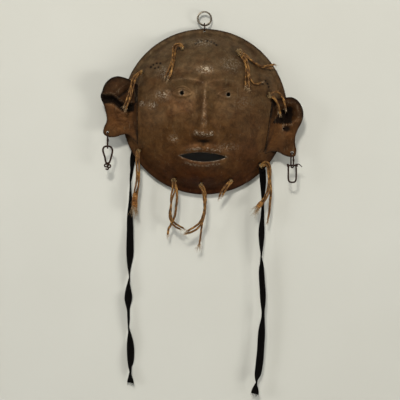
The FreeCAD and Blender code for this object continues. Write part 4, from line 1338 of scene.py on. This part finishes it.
def make_left_loop(wire):
    """A pear-shaped loop whose two ends are twisted together and curled."""
    top = loop_top("left")
    corners = [
        (-0.4, 0), (3.8, -0.8), (6.2, -4.0), (6.6, -8.5), (5.0, -15.0), (3.4, -20.5), (1.4, -23.6),
        (-0.8, -24.0), (-2.6, -21.2), (-3.8, -15.0), (-5.8, -9.0), (-6.4, -4.6), (-4.4, -1.0)]
    tubes = Tubes()
    tubes.add(closed_loop(top, ACROSS, np.array(corners) * MM), 0.0013, sides=14, closed=True)
    neck = winding(
        top + np.array([0.0004, 0, -0.0226]), -UP, 0.0040, 2.1, 0.0018, ACROSS)
    tubes.add(neck, 0.00085)
    grow = np.linspace(1.0, 0.82, 34)
    for centre, first, sweep, radius in (
        ((-0.0020, -0.0010, -0.0268), 0.3, 1.55, 0.0022),
        ((0.0021, -0.0006, -0.0276), 2.4, -1.55, 0.0022),
        ((-0.0006, 0.0004, -0.0304), 1.1, 1.50, 0.0019),
    ):
        turn = np.linspace(first * math.pi, (first + sweep) * math.pi, 34)
        tubes.add(
            top + np.array(centre) + radius * np.stack([
                grow * np.cos(turn), 0.35 * np.cos(turn * 0.7), grow * np.sin(turn)], axis=1),
            0.00104)
    tubes.place("loop_wire_left", wire, "left_earring_loop", "iron_wire", "earring_loop_left")


def make_right_loop(wire):
    """A long loop, its ends wound round its own top, with a short bent tail."""
    top = loop_top("right")
    corners = [
        (0, 0), (4.0, -0.1), (5.3, -1.6), (5.6, -8.0), (5.5, -15.5), (5.0, -20.5), (3.2, -23.0),
        (0, -23.5), (-3.2, -23.0), (-5.0, -20.5), (-5.4, -15.5), (-5.4, -8.0), (-5.2, -1.6),
        (-4.0, -0.1)]
    tubes = Tubes()
    tubes.add(closed_loop(top, ACROSS, np.array(corners) * MM), 0.00118, sides=14, closed=True)
    for start in (-0.0074, 0.0047):
        tubes.add(winding(top + ACROSS * start, ACROSS, 0.0027, 2.6, 0.0016, UP), 0.00052, sides=10)
    tail = np.array([(5.6, -0.6, 1.4), (8.0, -1.0, 1.9), (10.4, -1.3, 1.0), (13.4, -1.6, -2.4)])
    tubes.add(smooth_route(top + tail * MM, 0.0005), 0.00072, sides=10)
    tubes.place("loop_wire_right", wire, "right_earring_loop", "iron_wire", "earring_loop_right")


# ---------------- stage, light and camera
WALL_Y = 0.0085
FLOOR_Z = -1.5
CAMERA = (-0.0062, -1.25, -0.2541)
VIEW_WIDTH = 0.560


def make_stage():
    """A pale wall behind the mask, which can't be seen from behind, and a pale floor far below."""
    n = Nodes("pale_wall")
    tone = n.ramp(n.noise(3, 3), [(0.3, (0.570, 0.564, 0.506)), (0.7, (0.606, 0.602, 0.546))])
    paint = n.add("ShaderNodeBsdfDiffuse", {"Color": tone})
    clear = n.add("ShaderNodeBsdfTransparent")
    back = n.add("ShaderNodeNewGeometry").outputs["Backfacing"]
    joined = n.add(
        "ShaderNodeMixShader", {0: back, 1: paint.outputs[0], 2: clear.outputs[0]})
    n.add("ShaderNodeOutputMaterial", {"Surface": joined.outputs[0]})
    corners = [(-1.6, FLOOR_Z), (1.6, FLOOR_Z), (1.6, 1.2), (-1.6, 1.2)]
    wall = make_object("wall", [(x, WALL_Y, z) for x, z in corners], [(0, 1, 2, 3)], n.material)
    plain = Nodes("pale_floor").finish(Base_Color=(0.62, 0.61, 0.57, 1.0), Roughness=0.8)
    corners = [(-3, -3), (3, -3), (3, 3), (-3, 3)]
    floor = make_object("floor", [(x, y, FLOOR_Z) for x, y in corners], [(0, 1, 2, 3)], plain)


def light_scene():
    """A small key light from high on the left, three broader ones, and dim surroundings. Each is a
    soft rectangle that looks at the mask: place, size, power and colour."""
    for name, place, size, power, colour in (
        ("key", (-0.30, -1.85, 0.90), (0.36, 0.30), 26, (1.0, 0.97, 0.91)),
        ("sky", (0.35, -1.90, 1.05), (1.6, 0.9), 6, (1.0, 0.98, 0.94)),
        ("low", (3.20, -2.30, -1.30), (1.4, 1.0), 84, (1.0, 0.99, 0.96)),
        ("window", (-3.0, -1.75, 0.10), (0.9, 0.9), 24, (0.95, 0.97, 1.0)),
    ):
        data = bpy.data.lights.new(name, "AREA")
        data.shape = "RECTANGLE"
        data.size, data.size_y = size
        data.energy = power
        data.color = colour
        lamp = bpy.data.objects.new(name, data)
        lamp.location = place
        lamp.rotation_mode = "QUATERNION"
        lamp.rotation_quaternion = (Vector((0, 0, -0.2)) - Vector(place)).to_track_quat("-Z", "Y")
        bpy.context.scene.collection.objects.link(lamp)
    world = bpy.data.worlds.new("surroundings")
    world.use_nodes = True
    background = world.node_tree.nodes["Background"].inputs
    background["Color"].default_value = (0.93, 0.96, 1.0, 1.0)
    background["Strength"].default_value = 0.20
    bpy.context.scene.world = world
    bpy.context.scene.view_settings.view_transform = "Standard"


def place_camera():
    """Straight at the wall, from in front of the middle of the whole mask with its ribbons."""
    data = bpy.data.cameras.new("camera")
    data.lens = data.sensor_width * -CAMERA[1] / VIEW_WIDTH
    camera = bpy.data.objects.new("camera", data)
    camera.location = CAMERA
    camera.rotation_euler = (math.pi / 2, 0, 0)
    bpy.context.scene.collection.objects.link(camera)
    bpy.context.scene.camera = camera


def main():
    place_camera()
    looks = {
        "twine": twine_fibre(
            "twine_fibre", ((0.034, 0.012, 0.003), (0.165, 0.070, 0.014), (0.600, 0.310, 0.080))),
        "end_knot": twine_fibre(
            "twine_amber", ((0.100, 0.032, 0.006), (0.330, 0.130, 0.028), (0.640, 0.330, 0.090))),
        "fray": frayed_fibre(),
    }
    knotted = twine_fibre(
        "twine_knotted", ((0.060, 0.032, 0.011), (0.190, 0.118, 0.044), (0.400, 0.265, 0.110)))
    ribbon = black_ribbon()
    wire = dark_wire()
    for label, (*tie, points) in LYING_TIES.items():
        lying = [(x, RIM_BACK - float(skin(x, z)) - lift, z) for x, lift, z in points]
        make_tie(label, *tie, lying, looks)
    for label, tie in FREE_TIES.items():
        make_tie(label, *tie, looks)
    for name in KNOTS:
        make_knot(name, knotted)
    for side in ("left", "right"):
        make_ribbon(side, ribbon)
    make_face_plate(rusted_sheet(
        "face_iron", (0.126, 0.080, 0.038), (0.124, 0.058, 0.018), (0.046, 0.010, 0.002),
        (0.58, 0.49, 0.36)))
    # On the ears these colours make the upper part darker than the lower part.
    ear_iron = rusted_sheet(
        "ear_iron", (0.080, 0.031, 0.008), (0.105, 0.044, 0.012), (0.100, 0.042, 0.012),
        (0.46, 0.36, 0.24))
    for side in ("left", "right"):
        make_ear(side, ear_iron)
    make_split_ring(ring_metal())
    make_hooks(wire)
    make_left_loop(wire)
    make_right_loop(wire)
    make_stage()
    light_scene()


main()
